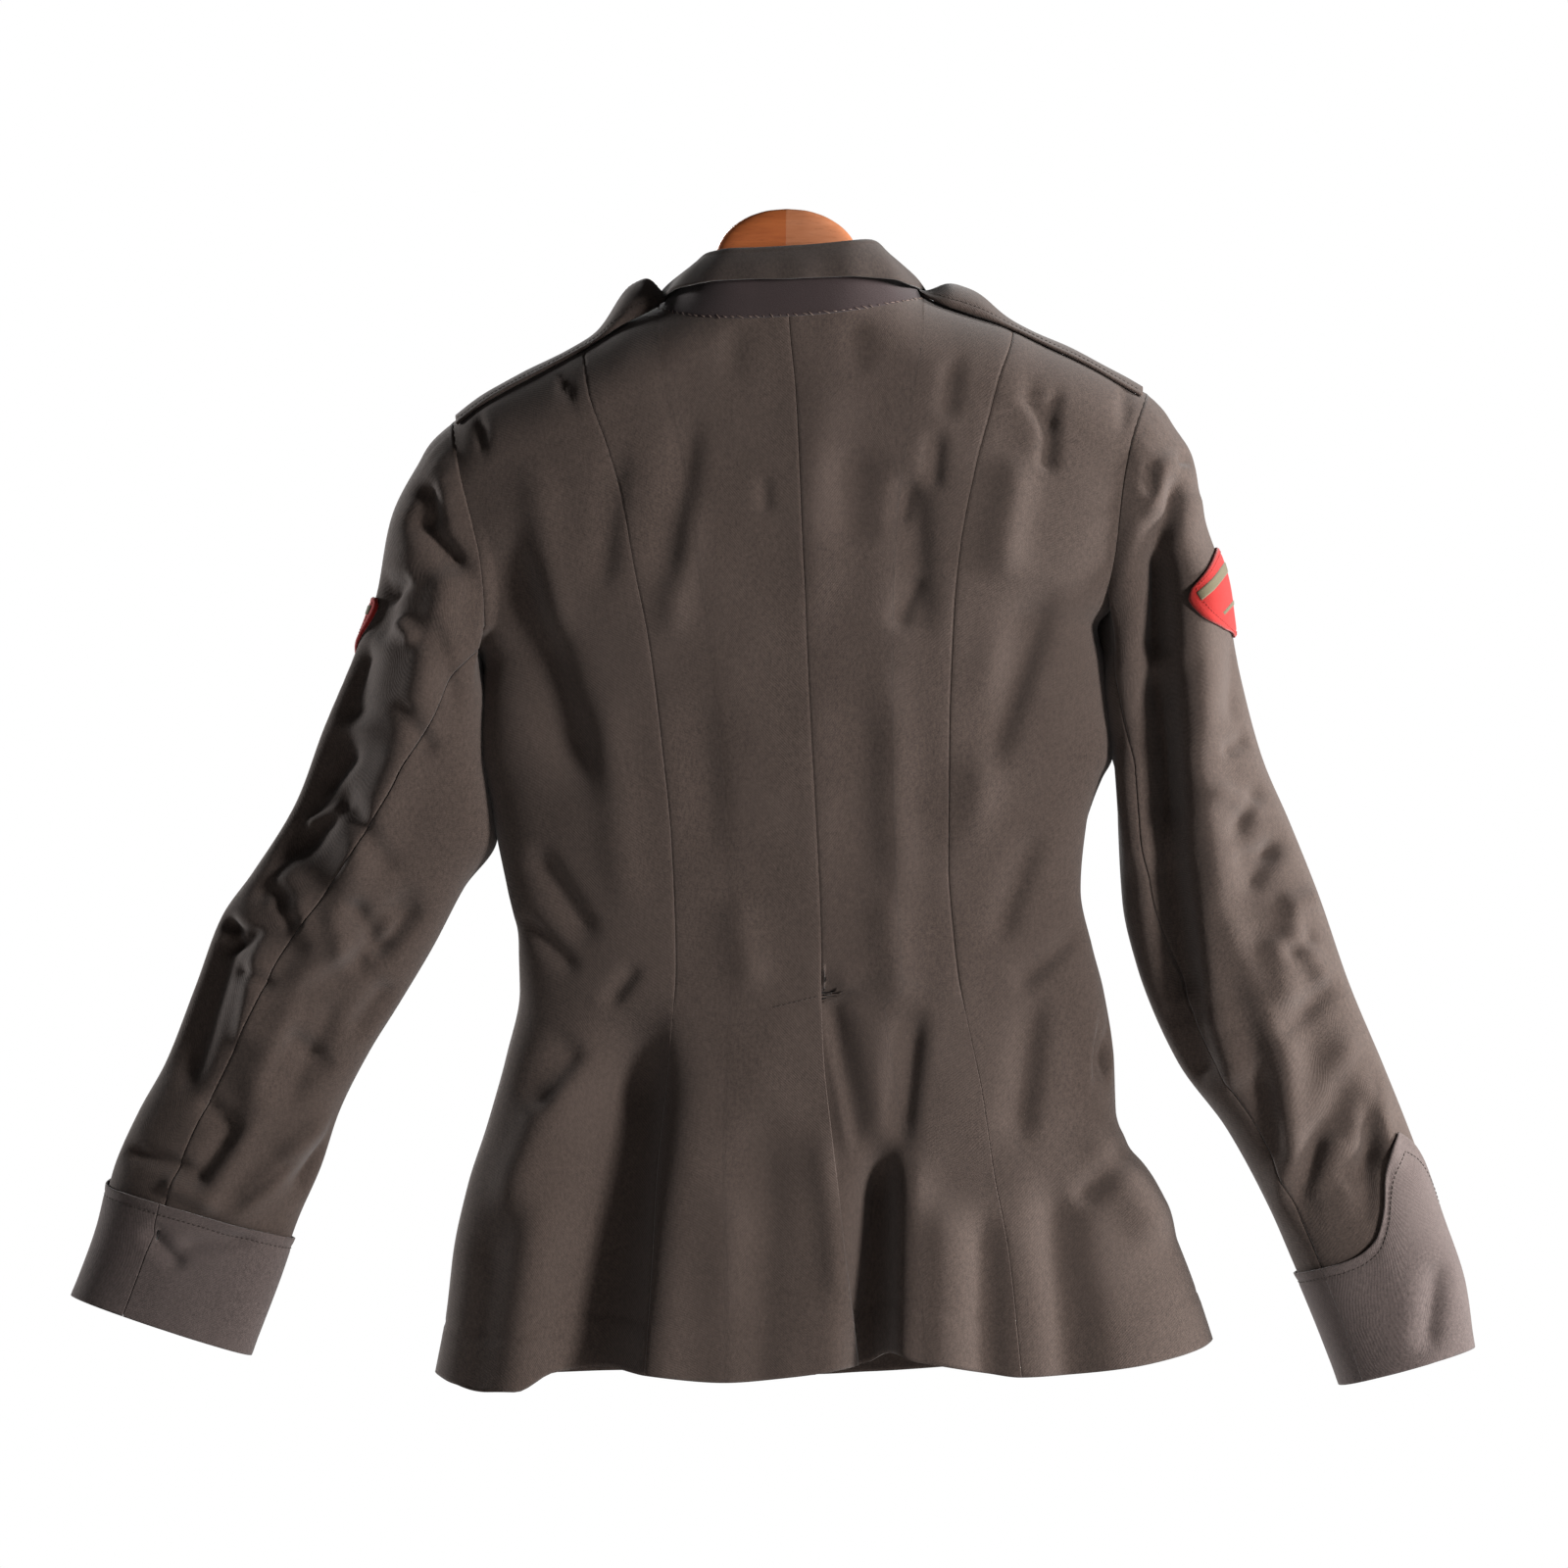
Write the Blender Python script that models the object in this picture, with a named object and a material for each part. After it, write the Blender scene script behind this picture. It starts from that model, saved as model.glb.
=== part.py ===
"""A fitted, hip-length uniform jacket hanging on a wooden hanger, empty, at rest.

Metres, +Z up. The jacket's back faces -Y and its left is at -X. The origin is the top of the
hanger's neck. The tables below are in millimetres from that point.
"""

import bpy
import numpy as np

for old in list(bpy.data.objects):
    bpy.data.objects.remove(old, do_unlink=True)

WALL = 1.6  # serge with its backing
FELT = 1.4  # undercollar and patches
GAP = 0.36  # between pieces at a seam
SHOULDER_R = 45.0  # height over which the shoulder turns from the ridge to the back
BODY_POWER = 2.5  # 2 is an ellipse, more is boxier
ARM_STEPS = 11  # rows from the shoulder to the armpit, shared by body and sleeve
BODY_STEPS = 15  # rows from the armpit to the hem
SLEEVE_STEPS = 23
VENT_TOP = -474.0
UNDERLAP = 32.0
SUNK = 3.2  # how far an under layer lies inside the layer over it


def table(columns, rows):
    """A table with named columns."""
    values = np.array(rows, float)
    return {name: values[:, i] for i, name in enumerate(columns.split())}


def through(xs, ys, x):
    """A smooth curve through the rows of a table that never overshoots them, straight past its ends."""
    xs, ys, x = np.asarray(xs, float), np.asarray(ys, float), np.asarray(x, float)
    if xs[0] > xs[-1]:
        xs, ys = xs[::-1], ys[::-1]
    slope = np.diff(ys) / np.diff(xs)
    inner = np.where(
        slope[1:] * slope[:-1] > 0,
        2 * slope[1:] * slope[:-1] / np.where(slope[1:] + slope[:-1] == 0, 1, slope[1:] + slope[:-1]),
        0,
    )
    m = np.concatenate([[slope[0]], inner, [slope[-1]]])
    i = np.clip(np.searchsorted(xs, x) - 1, 0, len(xs) - 2)
    span = xs[i + 1] - xs[i]
    t = (x - xs[i]) / span
    c = np.clip(t, 0, 1)
    value = (
        (1 + 2 * c) * (1 - c) ** 2 * ys[i]
        + c * (1 - c) ** 2 * span * m[i]
        + c * c * (3 - 2 * c) * ys[i + 1]
        + c * c * (c - 1) * span * m[i + 1]
    )
    return value + (t - c) * span * np.where(t < 0, m[0], m[-1])


def ease(x):
    """0 below 0, 1 above 1, smooth between."""
    x = np.clip(x, 0, 1)
    return x * x * (3 - 2 * x)


# Body: a row per level. Above the armpits left and right are where the ring would close.
BODY = table("z left right centre back front", [
    (0, -255, 262, 0, 52, 46),
    (-66, -252, 258, 1, 55, 46),
    (-112, -248, 252, 5, 57, 47),
    (-150, -240, 244, 7, 58, 48),
    (-175, -234, 236, 8, 58, 49),
    (-200, -226, 225, 9, 57, 50),
    (-220, -217, 214, 10, 56, 50),
    (-240, -206, 200, 11, 55, 50),
    (-254, -197, 188, 11.5, 54, 50),
    (-277, -182, 188.5, 12.5, 52, 49),
    (-319, -183, 190, 14.5, 50, 48),
    (-345, -180, 188, 16, 49, 46),
    (-372, -177, 181, 17.5, 47, 44),
    (-413, -169, 178, 19.5, 42, 40),
    (-447, -162, 185, 20.5, 39, 38),
    (-474, -162, 192, 20.6, 40, 38),
    (-513, -170, 198, 22, 43, 41),
    (-556, -182, 200, 26.5, 47, 45),
    (-590, -193, 221, 30.5, 50, 48),
    (-631, -202, 239, 35, 53, 50),
    (-673, -207, 254, 40.5, 56, 52),
    (-705, -213, 264, 44, 58, 53),
])
# Ridge of the shoulders, and above the neck the line that it would follow.
RIDGE = table("x z", [
    (-202, -129), (-178, -111.5), (-147, -95.5), (-120, -81.5), (-96, -68), (-78, -59.5), (-50, -42),
    (-20, -26), (5, -21), (30, -25), (60, -40), (83, -53.5), (111, -63), (131, -69), (156, -80),
    (180, -91), (200, -102), (218, -112),
])
NECK = table("x z", [
    (-78, -59.5), (-73, -62.2), (-64, -65), (-52, -67), (-28, -68), (1, -67), (31, -64.5), (61, -59),
    (76, -55.6), (83, -53.5),
])
ARMHOLE = {
    "left": table("z x", [
        (-129, -202), (-160, -197), (-193, -189), (-215, -184.5), (-240, -182.5), (-277, -182),
    ]),
    "right": table("z x", [
        (-112, 218), (-137, 208.5), (-156, 204), (-176, 201), (-206, 198), (-228, 194), (-242, 190), (-254, 188),
    ]),
}
PRINCESS = {
    "left": table("z x", [
        (-60, -124), (-109, -120), (-146, -108), (-174, -100), (-222, -91), (-263, -83), (-336, -74),
        (-376, -70), (-415, -68), (-458, -67), (-490, -69), (-533, -74), (-582, -79), (-631, -81),
        (-703, -85),
    ]),
    "right": table("z x", [
        (-50, 138), (-77, 136), (-105, 127), (-128, 121), (-158, 113), (-205, 104), (-248, 100),
        (-316, 97.5), (-396, 97), (-438, 100), (-464, 103), (-499, 110), (-533, 117), (-582, 124),
        (-631, 133), (-700, 140),
    ]),
}
HEM_BACK = table("x z", [
    (-213, -705), (-202, -710), (-179, -714), (-163, -714), (-143, -702), (-114, -698), (-85, -703),
    (-38, -707), (0, -704), (43, -697), (61, -689), (75, -694), (92, -697), (118, -701), (140, -704),
    (176, -702), (206, -699), (228, -695), (250, -689), (260, -684),
])
HEM_FRONT = table("x z", [
    (-213, -705), (-160, -709), (-100, -708), (-10, -711), (10, -711), (100, -706), (180, -700),
    (260, -684),
])
# Largest folds of the body, each along a line on the back (side 1) or the front (side -1).
# Height is out of the cloth, and the widths are to the left and right of the line.
BODY_FOLDS = table("side x0 z0 x1 z1 height wl wr", [
    (1, -167, -207, -122, -346, -5, 10, 14),
    (1, -57, -134, -71, -226, -2.5, 9, 12),
    (1, 41, -150, 41, -202, -2, 14, 14),
    (1, 74, -168, 80, -254, -2.5, 10, 12),
    (1, 138, -156, 128, -222, 4, 12, 12),
    (1, 156, -238, 121, -336, -5, 14, 10),
    (1, -128, -505, -150, -543, -4, 9, 9),
    (1, -136, -524, -169, -603, 5, 12, 12),
    (1, -71, -499, -113, -700, -17, 20, 15),
    (1, -47, -590, -50, -708, 4, 22, 22),
    (1, -148, -600, -160, -712, 6, 16, 18),
    (1, 26, -478, 43, -565, -4, 3, 12),
    (1, 78, -490, 69, -563, -4, 8, 9),
    (1, 66, -590, 52, -690, -14, 14, 8),
    (1, 95, -600, 93, -700, 6, 14, 20),
    (1, 186, -513, 196, -514, -7, 12, 16),
    (1, 184, -556, 227, -622, 6, 14, 14),
    (1, 160, -590, 172, -700, -5, 14, 16),
    (-1, -120, -230, -100, -360, -4, 14, 12),
    (-1, 118, -220, 104, -350, -4, 12, 14),
    (-1, -60, -520, -86, -700, -9, 16, 18),
    (-1, -135, -560, -150, -700, 5, 16, 16),
    (-1, 84, -520, 110, -700, -10, 18, 15),
    (-1, 165, -570, 190, -690, 5, 16, 16),
])


def folds(rows, side, x, z):
    """Height out of the cloth at (x, z) of every fold: a soft bump along a line, fading at its ends."""
    total = np.zeros(np.broadcast(x, z).shape)
    for i in range(len(rows["x0"])):
        dx, dz = rows["x1"][i] - rows["x0"][i], rows["z1"][i] - rows["z0"][i]
        length = np.hypot(dx, dz)
        along = ((x - rows["x0"][i]) * dx + (z - rows["z0"][i]) * dz) / length**2
        across = ((x - rows["x0"][i]) * -dz + (z - rows["z0"][i]) * dx) / length
        width = np.where(across > 0, rows["wr"][i], rows["wl"][i])
        fade = ease((along + 0.15) / 0.35) * ease((1.15 - along) / (0.35 if rows["z1"][i] > -680 else 0.01))
        total = total + (side == rows["side"][i]) * rows["height"][i] * fade * np.exp(-((across / width) ** 2))
    return total


def level(name, z):
    return through(BODY["z"], BODY[name], z)


def ridge(x):
    return through(RIDGE["x"], RIDGE["z"], x)


def spans(z, s):
    """Distance from the centre line to the side, on the side of s."""
    centre = level("centre", z)
    return np.where(s > 0, level("right", z) - centre, centre - level("left", z))


def body_base(a, g):
    """Body at the angle a round it (0 at the middle, quarter turns at the sides) and the way g down from
    the shoulder ridge, positive on the back and negative on the front."""
    a, g = np.broadcast_arrays(np.asarray(a, float), np.asarray(g, float))
    over = np.abs(a) > np.pi / 2
    a, g = np.where(over, np.sign(a) * np.pi - a, a), np.where(over, -g, g)
    down = np.abs(g)
    turn = np.minimum(down / SHOULDER_R, np.pi / 2)
    h = SHOULDER_R * (1 - np.cos(turn)) + np.maximum(down - SHOULDER_R * np.pi / 2, 0)
    s = np.sin(a)
    x = 220 * s
    for _ in range(14):
        z = ridge(x) - h
        x = level("centre", z) + spans(z, s) * s
    z = ridge(x) - h
    deep = np.where(g > 0, -level("back", z), level("front", z))
    y = deep * np.maximum(1 - np.abs(s) ** BODY_POWER, 0) ** (1 / BODY_POWER) * np.sin(turn)
    return np.stack([x, y, z], axis=-1)


def across(u, v):
    n = np.cross(u, v)
    return n / np.maximum(np.linalg.norm(n, axis=-1, keepdims=True), 1e-12)


def normals(surface, p, q, dp, dq):
    """Outward normal of a surface function, from points a little to each side."""
    return across(surface(p + dp, q) - surface(p - dp, q), surface(p, q + dq) - surface(p, q - dq))


def body(a, g):
    """Body with its folds, which fade out at the sides."""
    point = body_base(a, g)
    normal = -normals(body_base, a, g, 2e-3, 0.4)
    over = np.abs(a) > np.pi / 2
    side = np.where(np.where(over, -g, g) > 0, 1, -1)
    calm = ease(np.abs(np.abs(a) - np.pi / 2) / 0.25)
    return point + normal * (folds(BODY_FOLDS, side, point[..., 0], point[..., 2]) * calm)[..., None]


def place(x, z, side):
    """The angle and the way down for a point seen at (x, z) on the back (1) or the front (-1)."""
    s = (x - level("centre", z)) / spans(z, x - level("centre", z))
    h = np.maximum(ridge(x) - z, 0)
    turn = np.arccos(np.clip(1 - h / SHOULDER_R, 0, 1))
    return np.arcsin(np.clip(s, -1, 1)), side * (SHOULDER_R * turn + np.maximum(h - SHOULDER_R, 0))


def on_body(x, z, side, lift=0.0):
    """Point of the body seen at (x, z), moved out by lift, and the normal there."""
    a, g = place(x, z, side)
    n = -normals(body, a, g, 2e-3, 0.4)
    return body(a, g) + n * np.asarray(lift)[..., None], n


def mesh(name, points, faces, colour, roughness):
    """An object with its faces out, shaded smooth, in its own plain material."""
    points = np.asarray(points, float) / 1000
    made = bpy.data.meshes.new(name)
    made.from_pydata(points.tolist(), [], [list(f) for f in faces])
    made.update()
    made.polygons.foreach_set("use_smooth", np.ones(len(made.polygons), bool))
    obj = bpy.data.objects.new(name, made)
    bpy.context.scene.collection.objects.link(obj)
    material = bpy.data.materials.new(name + "_material")
    material.use_nodes = True
    shader = material.node_tree.nodes["Principled BSDF"]
    shader.inputs["Base Color"].default_value = (*colour, 1)
    shader.inputs["Roughness"].default_value = roughness
    made.materials.append(material)
    return obj


def wall(name, outer, normal, thick, colour, roughness=0.9):
    """A closed wall from a grid of outer points, with its other face thick along the normal behind them."""
    rows, cols = outer.shape[:2]
    inner = outer - normal * thick
    index = np.arange(rows * cols).reshape(rows, cols)
    back = index + rows * cols
    quads = [np.stack([index[:-1, :-1], index[:-1, 1:], index[1:, 1:], index[1:, :-1]], -1).reshape(-1, 4)]
    quads.append(np.stack([back[:-1, :-1], back[1:, :-1], back[1:, 1:], back[:-1, 1:]], -1).reshape(-1, 4))
    for edge in (index[0], index[:, -1], index[-1, ::-1], index[::-1, 0]):
        far = edge + rows * cols
        quads.append(np.stack([edge[1:], edge[:-1], far[:-1], far[1:]], -1))
    quads = np.concatenate(quads)
    points = np.concatenate([outer.reshape(-1, 3), inner.reshape(-1, 3)])
    one, two, three, four = (points[quads[:, k]] for k in range(4))
    volume = (one * np.cross(two, three)).sum() + (one * np.cross(three, four)).sum()
    return mesh(name, points, quads if volume > 0 else quads[:, ::-1], colour, roughness)


# The way down the armhole, as an angle round it: 0 at the shoulder, half a turn at the armpit.
ARM_TURNS = np.radians([0, 18, 36, 54, 72, 90, 108, 126, 144, 156, 168, 180])


def down_armhole(hole, turn):
    """Height on an armhole at this turn."""
    top, pit = ARMHOLE[hole]["z"][0], ARMHOLE[hole]["z"][-1]
    return top + (pit - top) * (1 - np.cos(turn)) / 2


def side_angle(hole, z, sign):
    """Angle of the edge by the sleeve: the armhole down to the armpit, and the side seam below it."""
    pit = ARMHOLE[hole]["z"][-1]
    edge = through(ARMHOLE[hole]["z"], ARMHOLE[hole]["x"], np.clip(z, pit, ARMHOLE[hole]["z"][0]))
    s = (edge - level("centre", z)) / spans(z, sign * np.ones_like(z))
    return np.where(z > pit, np.arcsin(np.clip(s, -1, 1)), sign * np.pi / 2)


def line_angle(rows, z, shift=0.0):
    """Angle of a seam or an edge given by a table of z and x."""
    x = through(rows["z"], rows["x"], z) + shift
    s = (x - level("centre", z)) / spans(z, x - level("centre", z))
    return np.arcsin(np.clip(s, -1, 1))


def back_top(x):
    """Top edge of the backs: the neck seam between the neck points, else the ridge of the shoulders."""
    return np.where((x > NECK["x"][0]) & (x < NECK["x"][-1]), through(NECK["x"], NECK["z"], x), ridge(x))


def armpit_level(x, side):
    """Height of the row that meets the armpits; on the front it dips below the opening of the lapels."""
    flat = -254 - 23 * (188 - x) / 370
    return flat - (95 * np.exp(-(((x - 3) / 75) ** 2)) if side < 0 else 0)


def panel(first, second, columns, side, top, hem, inset=(GAP / 2, GAP / 2), corner=None):
    """Grid of outer points and normals of a panel between two edges, each an angle for a height.

    A row per level from the top line to the hem, a column per share of the way across. The points of
    the first and last columns are moved in from the seam by the insets."""
    def at(u, z):
        return first(z) + (second(z) - first(z)) * u

    def x_of(u, z):
        a = at(u, z)
        return level("centre", z) + spans(z, np.sin(a)) * np.sin(a)

    def meet(u, line):
        low, high = np.full_like(u, -760.0), np.full_like(u, -15.0)
        for _ in range(44):
            mid = (low + high) / 2
            above = mid > line(x_of(u, mid))
            low, high = np.where(above, low, mid), np.where(above, mid, high)
        return (low + high) / 2

    u = np.asarray(columns, float)
    if corner is not None:
        low, high = 0.0, 1.0
        rising = x_of(np.array([1.0]), np.array([-60.0]))[0] > x_of(np.array([0.0]), np.array([-60.0]))[0]
        for _ in range(40):
            mid = (low + high) / 2
            z = meet(np.array([mid]), ridge)
            past = x_of(np.array([mid]), z)[0] > corner
            low, high = (low, mid) if past == rising else (mid, high)
        u[np.abs(u - low).argmin()] = low
    z_top = meet(u, top)
    z_hem = meet(u, hem)
    z_pit = np.zeros_like(u) - 265
    for _ in range(6):
        z_pit = armpit_level(x_of(u, z_pit), side)
    share = (1 - np.cos(ARM_TURNS)) / 2
    upper = z_top + (z_pit - z_top) * share[:, None]
    lower = z_pit + (z_hem - z_pit) * (np.arange(1, BODY_STEPS + 1) / BODY_STEPS)[:, None]
    z = np.concatenate([upper, lower])
    uu = np.broadcast_to(u, z.shape)
    a = at(uu, z)
    x = level("centre", z) + spans(z, np.sin(a)) * np.sin(a)
    _, g = place(x, z, side)
    g = np.where(np.abs(g) < GAP / 2, side * GAP / 2, g)
    here = np.linalg.norm(body_base(a + 2e-3, g) - body_base(a - 2e-3, g), axis=-1) / 4e-3
    way = np.sign(a[:, -1:] - a[:, :1])
    a = a.copy()
    a[:, 0] += (way[:, 0] * inset[0] / here[:, 0])
    a[:, -1] -= (way[:, 0] * inset[1] / here[:, -1])
    return a, g


def build_panel(name, a, g, colour, sink=None, armhole=None, thick=WALL):
    """Wall of a panel. The rim that meets a sleeve takes the direction that the two share."""
    points, n = body(a, g), -normals(body, a, g, 2e-3, 0.4)
    if armhole is not None:
        side = 1 if g[3, 2] > 0 else -1
        column = -1 if np.abs(a[-1, -1]) > np.abs(a[-1, 0]) else 0
        ring, shared, _ = armhole_ring(armhole, side * ARM_TURNS)
        points[: ARM_STEPS + 1, column] = ring
        n[: ARM_STEPS + 1, column] = shared
        if side > 0:
            points[0, column, 1] = -GAP / 2
        else:
            points[0, column, 1] = GAP / 2
        points[ARM_STEPS, column, 1] = -side * GAP / 2
        points[ARM_STEPS, column, 0] -= 0.25 * SIGN[armhole]
        n[ARM_STEPS:, column, 1] = 0
        n[:, column] /= np.linalg.norm(n[:, column], axis=-1, keepdims=True)
    if sink is not None:
        points = points - n * sink(points)[..., None]
    return wall(name, points, n, thick, colour)


# Sleeves: a row per ring, from its outer edge (ox, oz) to its inner edge (ix, iz), the ring's middle and
# half depth along Y, and the turn of the elbow seam round it.
SLEEVE = {
    "left": table("ox oz ix iz mid deep elbow", [
        (-202, -129, -182, -277, 0, 38, 144),
        (-220, -150, -184.5, -284, 0, 38, 138),
        (-240, -188, -187, -294, 0, 38, 127),
        (-249, -234, -189, -310, 0, 37, 112),
        (-263, -272, -188, -334, 1, 36, 102),
        (-281, -315, -181.5, -380, 2, 34, 84),
        (-298, -360, -196, -412, 3, 32, 80),
        (-324, -402, -215, -448, 4, 30, 77),
        (-343, -429, -236, -483, 5, 30, 75),
        (-359, -471, -254, -512, 6, 29, 73),
        (-377, -517, -272, -548, 7, 28, 70),
        (-394, -548, -283, -581, 8, 27, 69),
        (-409, -582, -297, -613, 9, 27, 70),
        (-418, -618, -310, -650, 10, 26, 67),
        (-433, -659, -327, -694, 11, 26, 64),
    ]),
    "right": table("ox oz ix iz mid deep elbow", [
        (218, -112, 188, -254, 0, 38, 144),
        (230, -127, 190.5, -262, 0, 38, 143),
        (246, -151, 192.5, -278, 0, 38, 142),
        (252, -184, 194.5, -293, 0, 38, 141),
        (264, -222, 196.5, -310, 0, 38, 140),
        (270, -257, 199, -328, 1, 38, 140),
        (276, -288, 200, -346, 1, 37, 139),
        (288, -332, 201, -378, 2, 36, 138),
        (305, -372, 203.5, -420, 3, 35, 137),
        (323, -417, 212, -458, 4, 34, 136),
        (341, -469, 237, -517, 5, 32, 135),
        (362, -519, 267, -558, 7, 31, 135),
        (382, -569, 293, -606, 9, 30, 135),
        (397, -611, 307, -638, 10, 30, 135),
        (411, -654, 323, -676, 11, 30, 135),
        (416, -690, 337, -712, 12, 30, 134),
    ]),
}
SLEEVE_FOLDS = {
    "left": table("side x0 z0 x1 z1 height wl wr", [
        (1, -216, -168, -210, -193, -5, 7, 7),
        (1, -222, -190, -197, -215, -6, 8, 8),
        (1, -254, -270, -254, -310, -5, 9, 10),
        (1, -254, -310, -292, -394, -5, 9, 10),
        (1, -205, -222, -228, -318, 5, 11, 12),
        (1, -228, -318, -268, -418, 5, 11, 12),
        (1, -226, -416, -270, -470, -4, 8, 8),
        (1, -332, -462, -351, -512, -5, 8, 8),
        (1, -337, -607, -274, -550, 5, 12, 8),
        (1, -400, -570, -358, -582, -2.5, 6, 6),
        (-1, -250, -250, -262, -400, -5, 12, 12),
        (-1, -330, -440, -370, -560, 4, 12, 12),
    ]),
    "right": table("side x0 z0 x1 z1 height wl wr", [
        (1, 224, -195, 231, -250, -17, 16, 9),
        (1, 230, -250, 238, -400, -18, 18, 9),
        (1, 238, -400, 262, -500, -13, 16, 9),
        (1, 296, -440, 300, -480, 5, 12, 12),
        (1, 300, -480, 305, -610, 4, 10, 10),
        (1, 337, -520, 308, -605, -5, 9, 10),
        (1, 250, -230, 262, -330, 4, 12, 12),
        (1, 236, -152, 247, -152, -4, 5, 5),
        (-1, 240, -240, 256, -400, -6, 12, 12),
        (-1, 320, -450, 350, -570, 4, 12, 12),
    ]),
}


def sleeve_way(hole):
    """Distance of each ring down the middle of the sleeve."""
    rows = SLEEVE[hole]
    x, z = (rows["ox"] + rows["ix"]) / 2, (rows["oz"] + rows["iz"]) / 2
    return np.concatenate([[0], np.cumsum(np.hypot(np.diff(x), np.diff(z)))])


def tube(hole, turn, way):
    """Plain sleeve at the turn round it (0 outside, a quarter turn at the back, half inside)."""
    ways = sleeve_way(hole)
    ox, oz, ix, iz, mid, deep = (through(ways, SLEEVE[hole][k], way) for k in ("ox", "oz", "ix", "iz", "mid", "deep"))
    c, s = np.cos(turn), np.sin(turn)
    return np.stack([
        (ox + ix) / 2 + (ox - ix) / 2 * c,
        mid - deep * np.sign(s) * np.abs(s) ** 0.9,
        (oz + iz) / 2 + (oz - iz) / 2 * c,
    ], -1)


def armhole_point(hole, turn):
    """Armhole seam on the body."""
    sign = -1 if hole == "left" else 1
    turn = np.where(turn > np.pi, turn - 2 * np.pi, np.where(turn < -np.pi, turn + 2 * np.pi, turn))
    z = down_armhole(hole, np.abs(turn))
    a = side_angle(hole, np.maximum(z, ARMHOLE[hole]["z"][-1] + 1e-6), sign)
    x = level("centre", z) + spans(z, sign * np.ones_like(z)) * np.sin(a)
    _, g = place(x, z, 1)
    g = g * np.where(turn < 0, -1, 1)
    return a, g


def sleeve_base(hole, turn, way):
    """Sleeve that starts on the armhole seam and becomes the plain tube."""
    turn, way = np.broadcast_arrays(np.asarray(turn, float), np.asarray(way, float))
    wrapped = np.where(turn > np.pi, turn - 2 * np.pi, turn)
    start = body(*armhole_point(hole, wrapped))
    blend = (1 - ease(way / 70))[..., None]
    return tube(hole, turn, way) + (start - tube(hole, turn, np.zeros_like(way))) * blend


def sleeve(hole, turn, way):
    """Sleeve with its folds."""
    turn, way = np.broadcast_arrays(np.asarray(turn, float), np.asarray(way, float))
    point = sleeve_base(hole, turn, way)
    sign = -1 if hole == "left" else 1
    n = sign * normals(lambda t, w: sleeve_base(hole, t, w), turn, way, 2e-3, 0.4)
    s = np.sin(turn)
    side = np.where(s > 0, 1, -1)
    calm = ease(np.abs(s) / 0.45) * ease(way / 25)
    return point + n * (folds(SLEEVE_FOLDS[hole], side, point[..., 0], point[..., 2]) * calm)[..., None]


def sleeve_normal(hole, turn, way):
    sign = -1 if hole == "left" else 1
    return sign * normals(lambda t, w: sleeve(hole, t, w), turn, way, 2e-3, 0.4)


def armhole_ring(hole, turn):
    """Points of the armhole, the direction of both rims there, and the way off the body."""
    a, g = armhole_point(hole, turn)
    points = body(a, g)
    on_it = -normals(body, np.clip(a, -1.5, 1.5), np.where(np.abs(g) < 1, np.sign(g + 1e-9), g), 2e-3, 0.4)
    after = sleeve(hole, turn, np.full_like(turn, 6.0))
    off = sleeve_normal(hole, turn, np.full_like(turn, 3.0))
    shared = on_it + off
    near = body(*armhole_point(hole, turn + 0.02)) - body(*armhole_point(hole, turn - 0.02))
    near = near / np.maximum(np.linalg.norm(near, axis=-1, keepdims=True), 1e-9)
    shared = shared - near * (shared * near).sum(-1, keepdims=True)
    shared = shared / np.maximum(np.linalg.norm(shared, axis=-1, keepdims=True), 1e-9)
    away = np.cross(near, shared)
    away = away * np.sign(((after - points) * away).sum(-1, keepdims=True))
    return points, shared, away


CLOTH = (0.068, 0.051, 0.042)
CUFF_CLOTH = (0.115, 0.09, 0.085)
UNDER_FELT = (0.046, 0.03, 0.03)
RED_FELT = (0.75, 0.06, 0.045)
WOOD = {"left": (0.48, 0.13, 0.045), "right": (0.56, 0.24, 0.13)}
BUTTON = (0.05, 0.035, 0.03)
SIGN = {"left": -1, "right": 1}
UP = np.array([0, 0, 1.0])

# Backs
CENTRE_LINE = {"z": BODY["z"], "x": BODY["centre"]}


def hem_of(side):
    rows = HEM_BACK if side > 0 else HEM_FRONT
    return lambda x: through(rows["x"], rows["z"], x)


def sunk_by_vent(points):
    """How far the right back sinks beside and under the left one, from a little above the vent."""
    x, z = points[..., 0], points[..., 2]
    near = ease((level("centre", z) + 16 - x) / 15)
    return SUNK * near * ease((VENT_TOP + 26 - z) / 26)


for hand in ("left", "right"):
    sign = SIGN[hand]
    neck_x = NECK["x"][0] if hand == "left" else NECK["x"][-1]

    def centre(z, sign=sign):
        if sign < 0:
            return np.zeros_like(z) - 1e-6
        under = ease((VENT_TOP + 3 - z) / 4)
        return line_angle(CENTRE_LINE, z, -UNDERLAP * under * ease((VENT_TOP + 3 - z) / 12)) + 1e-6

    def princess(z, hand=hand):
        return line_angle(PRINCESS[hand], z)

    def side(z, hand=hand, sign=sign):
        return side_angle(hand, z, sign)

    a, g = panel(centre, princess, np.linspace(0, 1, 11), 1, back_top, hem_of(1), corner=neck_x)
    build_panel("back_" + hand, a, g, CLOTH, sink=sunk_by_vent if hand == "right" else None)
    a, g = panel(princess, side, np.linspace(0, 1, 9), 1, back_top, hem_of(1))
    build_panel("side_back_" + hand, a, g, CLOTH, armhole=hand)

# Fronts, closing right over left, with an opening for the lapels
FRONT_EDGE = {"left": 17.0, "right": -13.0}
BREAK_Z = -330.0


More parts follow.
